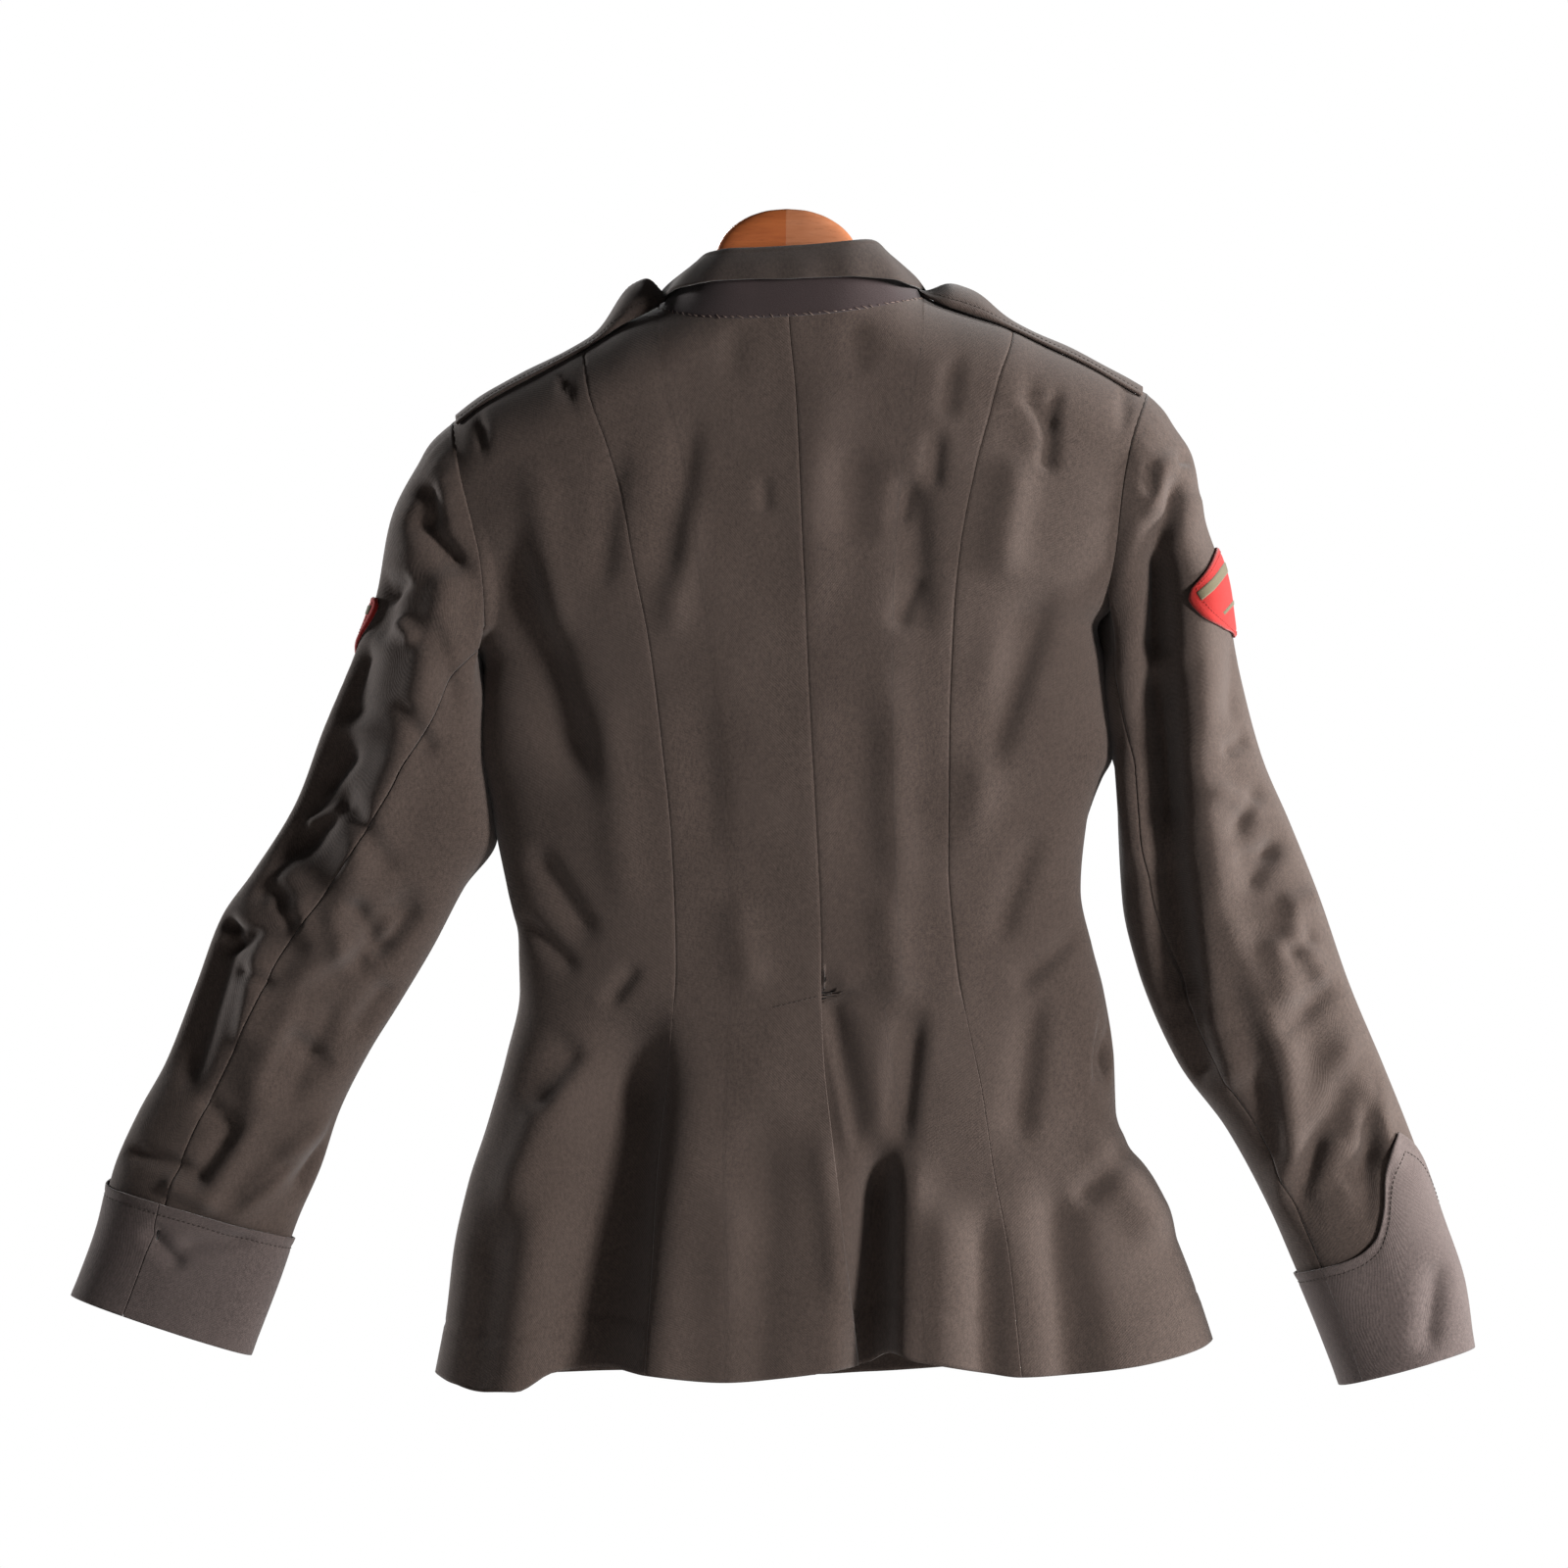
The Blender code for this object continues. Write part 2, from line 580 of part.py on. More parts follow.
def opening(hand):
    """Height of the edge of the opening at x."""
    start = (NECK["x"][0], NECK["z"][0]) if hand == "left" else (NECK["x"][-1], NECK["z"][-1])
    xs, zs = (start[0], FRONT_EDGE[hand]), (start[1], BREAK_Z)

    def line(x):
        share = np.clip((x - xs[0]) / (xs[1] - xs[0]), 0, 1)
        edge = zs[0] + (zs[1] - zs[0]) * share
        return np.where(share > 0, np.minimum(edge, ridge(x)), ridge(x))

    return line


def sunk_by_closing(points):
    """How far the left front lies inside the right one."""
    x, z = points[..., 0], points[..., 2]
    reach = np.maximum(FRONT_EDGE["right"], opening_x("right", z))
    return (SUNK + 0.4) * ease((x - reach + 32) / 16)


def opening_x(hand, z):
    """x of the edge of the opening at a height."""
    start = (NECK["x"][0], NECK["z"][0]) if hand == "left" else (NECK["x"][-1], NECK["z"][-1])
    share = np.clip((z - start[1]) / (BREAK_Z - start[1]), 0, 1)
    return start[0] + (FRONT_EDGE[hand] - start[0]) * share


for hand in ("left", "right"):
    sign = SIGN[hand]
    neck_x = NECK["x"][0] if hand == "left" else NECK["x"][-1]

    def side(z, hand=hand, sign=sign):
        return side_angle(hand, z, sign)

    def edge(z, hand=hand):
        return line_angle({"z": np.array([-720.0, 0.0]), "x": np.array([FRONT_EDGE[hand]] * 2)}, z)

    a, g = panel(side, edge, np.linspace(0, 1, 12), -1, opening(hand), hem_of(-1), inset=(GAP / 2, 0), corner=neck_x)
    build_panel("front_" + hand, a, g, CLOTH, sink=sunk_by_closing if hand == "left" else None, armhole=hand)

# Sleeves
FRONT_SEAM = np.radians(-144)
UPPER_TURNS = np.concatenate([-ARM_TURNS[8:0:-1], ARM_TURNS[:9]])
UNDER_TURNS = np.concatenate([ARM_TURNS[8:], 2 * np.pi - ARM_TURNS[10:7:-1]])


def sleeve_turns(hand, turns, way):
    """Turns of the columns of a sleeve piece at this way down, between the elbow seam and the front seam."""
    elbow = np.radians(through(sleeve_way(hand), SLEEVE[hand]["elbow"], way))
    start, end = (FRONT_SEAM + 0 * elbow, elbow) if turns is UPPER_TURNS else (elbow, 2 * np.pi + FRONT_SEAM)
    return start + (end - start) * (turns - turns[0]) / (turns[-1] - turns[0])


for hand in ("left", "right"):
    length = sleeve_way(hand)[-1]
    rows = np.concatenate([[0, 7, 16, 28], np.linspace(28, length, SLEEVE_STEPS - 2)[1:]])
    for name, turns in (("top_sleeve_", UPPER_TURNS), ("under_sleeve_", UNDER_TURNS)):
        t = sleeve_turns(hand, turns, rows[:, None])
        w = np.broadcast_to(rows[:, None], t.shape)
        here = np.linalg.norm(sleeve(hand, t + 2e-3, w) - sleeve(hand, t - 2e-3, w), axis=-1) / 4e-3
        wider = 0.5 + 0.5 * (rows < 30)
        t[:, 0] += GAP * wider / here[:, 0]
        t[:, -1] -= GAP * wider / here[:, -1]
        points, n = sleeve(hand, t, w), sleeve_normal(hand, t, w)
        ring, shared, away = armhole_ring(hand, t[0])
        points[0], n[0] = ring + away * (GAP + 0.1 + 0.35 * (np.abs(np.cos(t[0])) > 0.9)[:, None]), shared
        n[1] = n[1] + shared
        n[1] /= np.linalg.norm(n[1], axis=-1, keepdims=True)
        wall(name + hand, points, n, WALL, CLOTH)

# Cuffs, sewn round the sleeve ends, with a point on the upper piece
CUFF = {"height": 72.0, "rise": 62.0, "point": {"left": -70.0, "right": 38.0}}
CUFF_RISE = table("away share", [(0, 1), (8, 0.88), (16, 0.68), (25, 0.36), (36, 0.12), (50, 0.02), (60, 0)])


def cuff_top(hand, turn):
    """Height of the cuff at this turn: even, but rising to its point in a hollow curve."""
    ways = sleeve_way(hand)
    middle = np.radians(CUFF["point"][hand])
    steps = middle + (turn - middle)[None, :] * np.linspace(0, 1, 41)[:, None]
    ring = tube(hand, steps, np.full_like(steps, ways[-1] - 40))
    away = np.linalg.norm(np.diff(ring, axis=0), axis=-1).sum(0)
    return CUFF["height"] + CUFF["rise"] * through(CUFF_RISE["away"], CUFF_RISE["share"], np.minimum(away, 60))


for hand in ("left", "right"):
    ways = sleeve_way(hand)
    for name, turns in (("cuff_top_", UPPER_TURNS), ("cuff_under_", UNDER_TURNS)):
        share = np.linspace(0, 1, 8)[:, None]
        t = sleeve_turns(hand, turns, np.full_like(share, ways[-1] - 60))
        w = ways[-1] - cuff_top(hand, t[0]) * (1 - share) + 1.0 * share
        t = sleeve_turns(hand, turns, w)
        n = sleeve_normal(hand, t, w)
        here = np.linalg.norm(sleeve(hand, t + 2e-3, w) - sleeve(hand, t - 2e-3, w), axis=-1) / 4e-3
        t[:, 0] += GAP / 2 / here[:, 0]
        t[:, -1] -= GAP / 2 / here[:, -1]
        wall(name + hand, sleeve(hand, t, w) + n * (GAP + 1.7), n, 1.5, CUFF_CLOTH)

# Patches, high on the sleeves: shields with a level top, wide there and narrow below
PATCH = table("turn half_turn way high", [(-52, 65, 95.5, 20.5), (2, 65, 95.5, 20.5)])
PATCH_SHAPE = table("down wide", [(-1, 0.94), (-0.84, 1.0), (-0.33, 0.94), (0.49, 0.62), (1, 0.16)])
for i, hand in enumerate(("left", "right")):
    u, v = np.meshgrid(np.linspace(-1, 1, 9), np.linspace(-1, 1, 6))
    t = np.radians(PATCH["turn"][i] + PATCH["half_turn"][i] * u * through(PATCH_SHAPE["down"], PATCH_SHAPE["wide"], v))
    w = PATCH["way"][i] + PATCH["high"][i] * v
    n = sleeve_normal(hand, t, w)
    wall("patch_" + hand, sleeve(hand, t, w) + n * (2.1 + FELT), n, FELT, RED_FELT)

# Collar and undercollar: a row from the centre back round to the front end, the same on both sides.
# n is the neck seam, f the top of the fold, e the edge of the fall.
# The fold is measured from the seam: towards the middle, out of the neck to the front, and up.
COLLAR = table("way nx fx fy fz ex ey ez", [
    (0.0, 0, 0, 4, 41, 0, -63, -46.5),
    (0.2, 30, 0, 4.5, 41, 34, -61, -46),
    (0.4, 58, -6, 5, 38, 64, -50, -48),
    (0.55, 74, -10, 5, 29, 76, -29, -51.5),
    (0.68, 80.5, -12, 4, 18, 80, 3, -56),
    (0.82, 72, -8, 6, 13, 90, 36, -78),
    (1.0, 60, -2, 8, 6, 84, 52, -122),
])
COLLAR_X, COLLAR_TILT = 2.5, 0.025


def neck_line(s):
    """The neck seam at s, from -1 at the left end to 1 at the right one: on the backs, then down the opening."""
    x = np.sign(s) * through(COLLAR["way"], COLLAR["nx"], np.abs(s)) + COLLAR_X
    x = np.clip(x, NECK["x"][0] + 0.2, NECK["x"][-1] - 0.2)
    front = np.abs(s) > 0.68
    z = np.where(front, np.where(s < 0, opening("left")(x), opening("right")(x)), through(NECK["x"], NECK["z"], x))
    back_points, _ = on_body(x, z, 1, 0 * x)
    front_points, _ = on_body(x, z, -1, 0 * x)
    return np.where(front[:, None], front_points, back_points)


def collar_line(kind, s):
    """The fold or the edge of the fall at s. Past the neck points the edge lies over the fronts."""
    x, y, z = (through(COLLAR["way"], COLLAR[kind + k], np.abs(s)) for k in "xyz")
    if kind == "f":
        return neck_line(s) + np.stack([np.sign(s) * x, y, z], -1)
    x = np.sign(s) * x + COLLAR_X
    points = np.stack([x, y, z + COLLAR_TILT * (x - COLLAR_X)], -1)
    points[:, 2] = np.minimum(points[:, 2], np.where(np.abs(s) > 0.6, ridge(x) - 0.3, 0))
    laid, _ = on_body(x, points[:, 2], -1, np.full_like(x, 5.5))
    mix = ease((np.abs(s) - 0.5) / 0.16)[:, None]
    return points * (1 - mix) + laid * mix


ways = np.linspace(-1, 1, 29)
neck, fold, fall = neck_line(ways), collar_line("f", ways), collar_line("e", ways)
along = np.gradient(neck, axis=0)
out = np.stack([along[:, 1], -along[:, 0], 0 * ways], -1)
out = out / np.linalg.norm(out, axis=1, keepdims=True)
ROLL = 3.6  # half width of the fold
SPACE = 1.1  # between the collar and the undercollar in its fold

# Undercollar
rise = np.linspace(0, 1, 3)[:, None, None]
base = neck + UP * 0.9
stand = base + (fold - UP * ROLL - base) * rise
stand_n = across(np.gradient(stand, axis=1), np.gradient(stand, axis=0))
stand_n = stand_n * np.sign((stand_n * out).sum())
wall("undercollar", stand, stand_n, FELT, UNDER_FELT)

# Collar, from inside the neck over the undercollar and down outside it
n, climb = stand_n[-1], stand[-1] - stand[-2]
climb = climb / np.linalg.norm(climb, axis=-1, keepdims=True)
behind = FELT + SPACE + 1.8
legs = [stand[k] - stand_n[k] * behind + climb * (1.8 - 1.8 * k) for k in (0, 1)]
for turn in np.radians([180, 135, 90, 45, 0]):
    legs.append(stand[-1] - n * (behind - ROLL) + n * ROLL * np.cos(turn) + climb * ROLL * np.sin(turn))
last = legs[-1]
for share in (0.33, 0.67, 1.0):
    legs.append(last + (fall - last) * share + n * 1.2 * np.sin(np.pi * share))
shape = np.stack(legs)
shape_n = across(np.gradient(shape, axis=1), np.gradient(shape, axis=0))
shape_n = shape_n * np.sign((shape_n[-2] * out).sum())
wall("collar", shape, shape_n, 1.8, CLOTH)

# Lapels, turned out on the fronts
LAPEL = {"left": (-136.0, -255.0), "right": (-132.0, -316.0)}
for hand in ("left", "right"):
    sign = SIGN[hand]
    s, r = np.meshgrid(np.linspace(0, 1, 10), np.linspace(0, 1, 6), indexing="ij")
    high, low = LAPEL[hand]
    zv = high + (low - high) * s
    xv = opening_x(hand, zv)
    wide = 58 * (1 - s) ** 0.75 + 2
    x = xv + sign * (1 + wide * r)
    z = zv + wide * r * 0.18
    points, n = on_body(x, z, -1, np.full_like(x, GAP + WALL + 0.3))
    wall("lapel_" + hand, points, n, WALL, CLOTH)

# Shoulder straps, sewn in at the armhole, with a round end by the collar that stands up
STRAP = {
    "left": {"from": -199.0, "to": -80.0, "peak": -91.0, "spread": 15.0, "lift": 14.0},
    "right": {"from": 214.0, "to": 88.0, "peak": 104.0, "spread": 17.0, "lift": 12.0},
}
for hand in ("left", "right"):
    row = STRAP[hand]
    s = np.concatenate([np.linspace(0, 0.84, 13), [0.9, 0.94, 0.97, 0.99]])
    across_it = np.linspace(-1, 1, 7)
    s, w = np.meshgrid(s, across_it, indexing="ij")
    x = row["from"] + (row["to"] - row["from"]) * s
    half = (21 - 4 * s) * np.sqrt(np.clip(1 - (np.maximum(s - 0.84, 0) / 0.17) ** 2, 0.02, 1))
    a, _ = place(x, ridge(x) - 2, 1)
    g = half * w * 1.15
    g = np.where(np.abs(g) < 0.01, 0.01, g)
    points, n = body(a, g), -normals(body, a, g, 2e-3, 0.4)
    hump = row["lift"] * np.exp(-(((x - row["peak"]) / row["spread"]) ** 2)) * (0.62 - 0.38 * w)
    points = points + n * (GAP + 2.0 + 0.2) + UP * hump[..., None]
    wall("strap_" + hand, points, n, 2.0, CLOTH)

# Buttons on the right front
for i, z in enumerate((-348.0, -430.0, -512.0)):
    at, n = on_body(np.array(2.0), np.array(z), -1, 0.4)
    t1 = np.cross(n, UP)
    t1 = t1 / np.linalg.norm(t1)
    t2 = np.cross(n, t1)
    profile = [(3.0, 0.0), (3.0, 1.4), (9.6, 1.8), (10.0, 2.8), (8.6, 4.6), (5.0, 5.9)]
    turns = np.linspace(0, 2 * np.pi, 17)[:-1]
    ring = np.cos(turns)[:, None] * t1 + np.sin(turns)[:, None] * t2
    points = np.concatenate([at + ring * r + n * h for r, h in profile] + [(at + n * 0.0)[None], (at + n * 6.3)[None]])
    faces = []
    for k in range(len(profile) - 1):
        for j in range(16):
            near = (j + 1) % 16
            faces.append((16 * k + j, 16 * k + near, 16 * k + 16 + near, 16 * k + 16 + j))
    foot, crown = len(points) - 2, len(points) - 1
    faces += [(foot, (j + 1) % 16, j) for j in range(16)]
    faces += [(crown, foot - 16 + j, foot - 16 + (j + 1) % 16) for j in range(16)]
    p = points
    volume = sum(np.dot(p[f[0]], np.cross(p[f[1]], p[f[2]])) for f in faces) + sum(
        np.dot(p[f[0]], np.cross(p[f[2]], p[f[3]])) for f in faces if len(f) == 4
    )
    mesh(f"button_{i + 1}", points, faces if volume > 0 else [f[::-1] for f in faces], BUTTON, 0.4)

# Hanger: a round neck that shows above the collar and two arms just under the shoulders
HANGER = table("x top", [
    (0, 0), (10, -1.1), (20, -4.7), (30, -11.2), (37, -19.5), (42, -30), (45, -42), (51, -53), (62, -66),
])


def hanger_top(x):
    """Top of the hanger: its table in the middle, and under the wall of the shoulders outside it."""
    inner = through(HANGER["x"], HANGER["top"], np.minimum(np.abs(x), 62.0))
    arm = ridge(x) - WALL - 1.9 - 6 * np.exp(-(((np.abs(x) - 78) / 16) ** 2))
    mix = ease((np.abs(x) - 58) / 24)
    return np.where(np.abs(x) < 58, inner, np.minimum(inner * (1 - mix) + arm * mix, arm))


for hand, first, last in (("left", -0.75, -194.0), ("right", -0.45, 208.0)):
    sign = SIGN[hand]
    x = np.concatenate([[first], first + sign * np.array([8, 16, 24, 31, 37, 41, 44, 47, 52, 60, 72, 84, 100]),
                        np.linspace(first + sign * 118, last, 7)])
    high = hanger_top(x)
    arm = ease((np.abs(x) - 45) / 60)
    low = np.where(arm > 0, -78 * (1 - arm) + (high - 26 + 10 * ease((np.abs(x) - 120) / 80)) * arm, -78)
    low = np.minimum(low, high - 8)
    half = 9.5 - 2.5 * ease((np.abs(x) - 45) / 60)
    turn = np.linspace(0, 2 * np.pi, 13)[:-1]
    c, s = np.cos(turn), np.sin(turn)
    px = np.broadcast_to(x[:, None], (len(x), len(turn)))
    py = half[:, None] * np.sign(s) * np.abs(s) ** 0.7
    pz = (high + low)[:, None] / 2 + (high - low)[:, None] / 2 * np.sign(c) * np.abs(c) ** 0.75
    points = np.stack([px, py, pz], -1)
    count = len(turn)
    faces = []
    for k in range(len(x) - 1):
        for j in range(count):
            near = (j + 1) % count
            faces.append((count * k + j, count * k + near, count * k + count + near, count * k + count + j))
    faces.append(tuple(range(count))[::-1])
    faces.append(tuple(count * (len(x) - 1) + j for j in range(count)))
    flat = points.reshape(-1, 3)
    f = faces[0]
    outwards = np.dot(np.cross(flat[f[1]] - flat[f[0]], flat[f[3]] - flat[f[0]]), flat[f[0]] - points[0].mean(0))
    mesh("hanger_" + hand, flat, faces if outwards > 0 else [g[::-1] for g in faces], WOOD[hand], 0.45)
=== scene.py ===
# %% [markdown]
# # A fitted wool jacket on a wooden hanger
# The jacket hangs empty with its back to the camera. Its CAD walls give the size and place of each
# piece. Here every piece of cloth is made again as a thin shell on a finer grid, with its creases,
# seams, stitches and weave. All tables are in millimetres from the top of the hanger's neck, and the
# meshes are in metres.

import bpy
import numpy as np
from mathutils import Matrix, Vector


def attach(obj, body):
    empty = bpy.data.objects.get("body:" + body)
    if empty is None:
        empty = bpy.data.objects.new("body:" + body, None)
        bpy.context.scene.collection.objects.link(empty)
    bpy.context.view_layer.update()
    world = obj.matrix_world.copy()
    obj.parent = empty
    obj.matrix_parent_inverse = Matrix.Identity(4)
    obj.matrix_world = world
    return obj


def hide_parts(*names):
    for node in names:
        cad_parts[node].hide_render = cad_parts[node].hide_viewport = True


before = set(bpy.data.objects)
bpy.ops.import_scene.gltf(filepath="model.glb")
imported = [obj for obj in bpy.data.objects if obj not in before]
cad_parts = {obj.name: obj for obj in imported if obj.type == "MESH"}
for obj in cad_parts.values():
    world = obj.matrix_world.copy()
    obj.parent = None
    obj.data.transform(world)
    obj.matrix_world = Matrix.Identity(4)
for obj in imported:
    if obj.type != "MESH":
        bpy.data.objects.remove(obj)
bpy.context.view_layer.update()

# %% [markdown]
# ## Small tools
# A table has a name for each column. `through` draws a smooth curve through its rows. Cloth is a grid
# of points, so one function turns a grid into a shell with two faces and a rim. The grid's own
# neighbours give the direction out of the cloth.

# %% Tools
SERGE, FELT = 1.5, 1.4  # thickness of the wool and of the felt
SHOULDER_R = 45.0  # the cloth turns over the shoulders with this radius
BODY_POWER = 2.5  # 2 would make the body's rings ellipses, and more makes them boxier
VENT_TOP, UNDERLAP = -474.0, 32.0
SUNK = 3.2  # an under layer lies this far inside the upper one
SEAM = -0.12  # gap at each side of a seam: below zero, the pieces overlap there
UP = np.array([0, 0, 1.0])
SIGN = {"left": -1, "right": 1}
FINE = 1.0
print("share of the grid steps used", FINE)


def table(columns, rows):
    """A table with named columns."""
    values = np.array(rows, float)
    return {name: values[:, i] for i, name in enumerate(columns.split())}


def through(xs, ys, x):
    """Cubic through the rows of a table, with slopes that never overshoot, and straight past its ends."""
    xs, ys, x = np.asarray(xs, float), np.asarray(ys, float), np.asarray(x, float)
    if xs[0] > xs[-1]:
        xs, ys = xs[::-1], ys[::-1]
    slope = np.diff(ys) / np.diff(xs)
    sums = slope[1:] + slope[:-1]
    both = slope[1:] * slope[:-1]
    inner = np.where(both > 0, 2 * both / np.where(sums == 0, 1, sums), 0)
    m = np.concatenate([[slope[0]], inner, [slope[-1]]])
    i = np.clip(np.searchsorted(xs, x) - 1, 0, len(xs) - 2)
    span = xs[i + 1] - xs[i]
    t = (x - xs[i]) / span
    c = np.clip(t, 0, 1)
    value = (1 + 2 * c) * (1 - c) ** 2 * ys[i] + c * (1 - c) ** 2 * span * m[i]
    value = value + c * c * (3 - 2 * c) * ys[i + 1] + c * c * (c - 1) * span * m[i + 1]
    return value + (t - c) * span * np.where(t < 0, m[0], m[-1])


def ease(x):
    """0 below 0, 1 above 1, smooth between: 3x^2 - 2x^3."""
    x = np.clip(x, 0, 1)
    return x * x * (3 - 2 * x)


def unit(v):
    return v / np.maximum(np.linalg.norm(v, axis=-1, keepdims=True), 1e-12)


def outward(grid, hint):
    """Unit normal of a grid of points, from its neighbours, turned to the side of hint."""
    n = unit(np.cross(np.gradient(grid, axis=1), np.gradient(grid, axis=0)))
    return n * np.where((n * hint).sum(-1).mean() < 0, -1, 1)


def spread(count):
    return max(3, int(round(count * FINE)))


def finish_mesh(name, points, faces, sizes, material, uv=None):
    """An object from points in millimetres, face corners in a row and the number of corners of each face."""
    mesh = bpy.data.meshes.new(name)
    points = np.asarray(points, np.float32).reshape(-1, 3) / 1000
    faces = np.asarray(faces, np.int32).reshape(-1)
    sizes = np.full(len(faces) // sizes, sizes) if np.ndim(sizes) == 0 else sizes
    starts = np.concatenate([[0], np.cumsum(sizes)[:-1]]).astype(np.int32)
    mesh.vertices.add(len(points))
    mesh.vertices.foreach_set("co", points.ravel())
    mesh.loops.add(len(faces))
    mesh.loops.foreach_set("vertex_index", faces)
    mesh.polygons.add(len(sizes))
    mesh.polygons.foreach_set("loop_start", starts)
    mesh.polygons.foreach_set("use_smooth", np.ones(len(sizes), bool))
    if uv is not None:
        layer = mesh.uv_layers.new(name="cloth")
        layer.data.foreach_set("uv", (uv.reshape(-1, 2)[faces] / 100).astype(np.float32).ravel())
    mesh.update(calc_edges=True)
    mesh.validate()
    mesh.materials.append(material)
    obj = bpy.data.objects.new(name, mesh)
    bpy.context.scene.collection.objects.link(obj)
    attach(obj, "root")
    return obj


def shell(name, outer, normal, thick, material, uv):
    """A closed shell from a grid of outer points: the same grid thick behind it, and a rim between them."""
    rows, cols = outer.shape[:2]
    inner = outer - normal * thick
    index = np.arange(rows * cols).reshape(rows, cols)
    back = index + rows * cols
    quads = [np.stack([index[:-1, :-1], index[:-1, 1:], index[1:, 1:], index[1:, :-1]], -1).reshape(-1, 4)]
    quads.append(np.stack([back[:-1, :-1], back[1:, :-1], back[1:, 1:], back[:-1, 1:]], -1).reshape(-1, 4))
    for edge in (index[0], index[:, -1], index[-1, ::-1], index[::-1, 0]):
        far = edge + rows * cols
        quads.append(np.stack([edge[1:], edge[:-1], far[:-1], far[1:]], -1))
    quads = np.concatenate(quads)
    points = np.concatenate([outer.reshape(-1, 3), inner.reshape(-1, 3)])
    one, two, three, four = (points[quads[:, k]] for k in range(4))
    volume = (one * np.cross(two, three)).sum() + (one * np.cross(three, four)).sum()
    quads = quads if volume > 0 else quads[:, ::-1]
    return finish_mesh(name, points, quads, 4, material, np.concatenate([uv.reshape(-1, 2)] * 2))


def flat_size(grid):
    """Width, length and area of a grid's cloth, in metres: its mean row, its mean column and its cells."""
    wide = np.linalg.norm(np.diff(grid, axis=1), axis=-1).sum(1).mean() / 1000
    long = np.linalg.norm(np.diff(grid, axis=0), axis=-1).sum(0).mean() / 1000
    sides = np.cross(grid[1:, :-1] - grid[:-1, :-1], grid[:-1, 1:] - grid[:-1, :-1])
    return wide, long, np.linalg.norm(sides, axis=-1).sum() / 1e6


# %% [markdown]
# ## Materials
# The cloth is a worn wool serge: dark olive brown, with paler and darker fibres mixed in, a fine
# diagonal twill and a few specks of lint. Its nap scatters light, so it has a little sheen and no
# gloss. One small class writes shader arithmetic as ordinary sums.

# %% Shader arithmetic
class Sum:
    """A socket that takes part in arithmetic. Each operation adds one Math node."""

    def __init__(self, tree, socket):
        self.tree, self.socket = tree, socket

    def math(self, operation, *others, clamp=False):
        node = self.tree.nodes.new("ShaderNodeMath")
        node.operation, node.use_clamp = operation, clamp
        for i, value in enumerate((self, *others)):
            if isinstance(value, Sum):
                self.tree.links.new(value.socket, node.inputs[i])
            else:
                node.inputs[i].default_value = value
        return Sum(self.tree, node.outputs[0])

    def __add__(self, other):
        return self.math("ADD", other)

    def __mul__(self, other):
        return self.math("MULTIPLY", other)

    def __sub__(self, other):
        return self.math("SUBTRACT", other)

    def between(self, low, high):
        """0 at low, 1 at high, clamped."""
        return ((self - low) * (1 / (high - low))).math("ADD", 0.0, clamp=True)


class Paint:
    """A material's node tree: node() adds any node, and mix() blends colours."""

    def __init__(self, name, roughness, **constants):
        self.material = bpy.data.materials.new(name)
        self.material.use_nodes = True
        self.tree = self.material.node_tree
        self.shader = self.tree.nodes["Principled BSDF"]
        self.shader.inputs["Roughness"].default_value = roughness
        for key, value in constants.items():
            self.shader.inputs[key.replace("_", " ")].default_value = value

    def node(self, kind, settings=None, out=0, **inputs):
        made = self.tree.nodes.new(kind)
        for key, value in (settings or {}).items():
            setattr(made, key, value)
        for key, value in inputs.items():
            socket = made.inputs[int(key[1:])] if key[0] == "i" and key[1:].isdigit() else made.inputs[key]
            if isinstance(value, Sum):
                self.tree.links.new(value.socket, socket)
            else:
                socket.default_value = value
        return Sum(self.tree, made.outputs[out])

    def mix(self, share, first, second):
        return self.node("ShaderNodeMix", {"data_type": "RGBA"}, out=2, i0=share, i6=first, i7=second)

    def place(self, scale=(1, 1, 1)):
        """Object coordinates in millimetres, stretched by scale."""
        here = self.node("ShaderNodeTexCoord", out=3)
        return self.node("ShaderNodeVectorMath", {"operation": "MULTIPLY"}, i0=here,
                         i1=tuple(1000 * s for s in scale))

    def noise(self, vector, size, detail=2.0, rough=0.5):
        return self.node("ShaderNodeTexNoise", Vector=vector, Scale=1 / size, Detail=detail, Roughness=rough)

    def feed(self, socket, value):
        self.tree.links.new(value.socket, self.shader.inputs[socket])

    def bump(self, height, distance):
        out = self.node("ShaderNodeBump", Strength=1.0, Distance=distance / 1000, Height=height)
        self.feed("Normal", out)


def rgb(red, green, blue):
    """A colour as a picture gives it, 0 to 255, in the light that the shader works with."""
    c = np.array([red, green, blue]) / 255
    return (*np.where(c < 0.04045, c / 12.92, ((c + 0.055) / 1.055) ** 2.4), 1.0)


LINT = 0.016  # share of the lint's cell that its speck fills


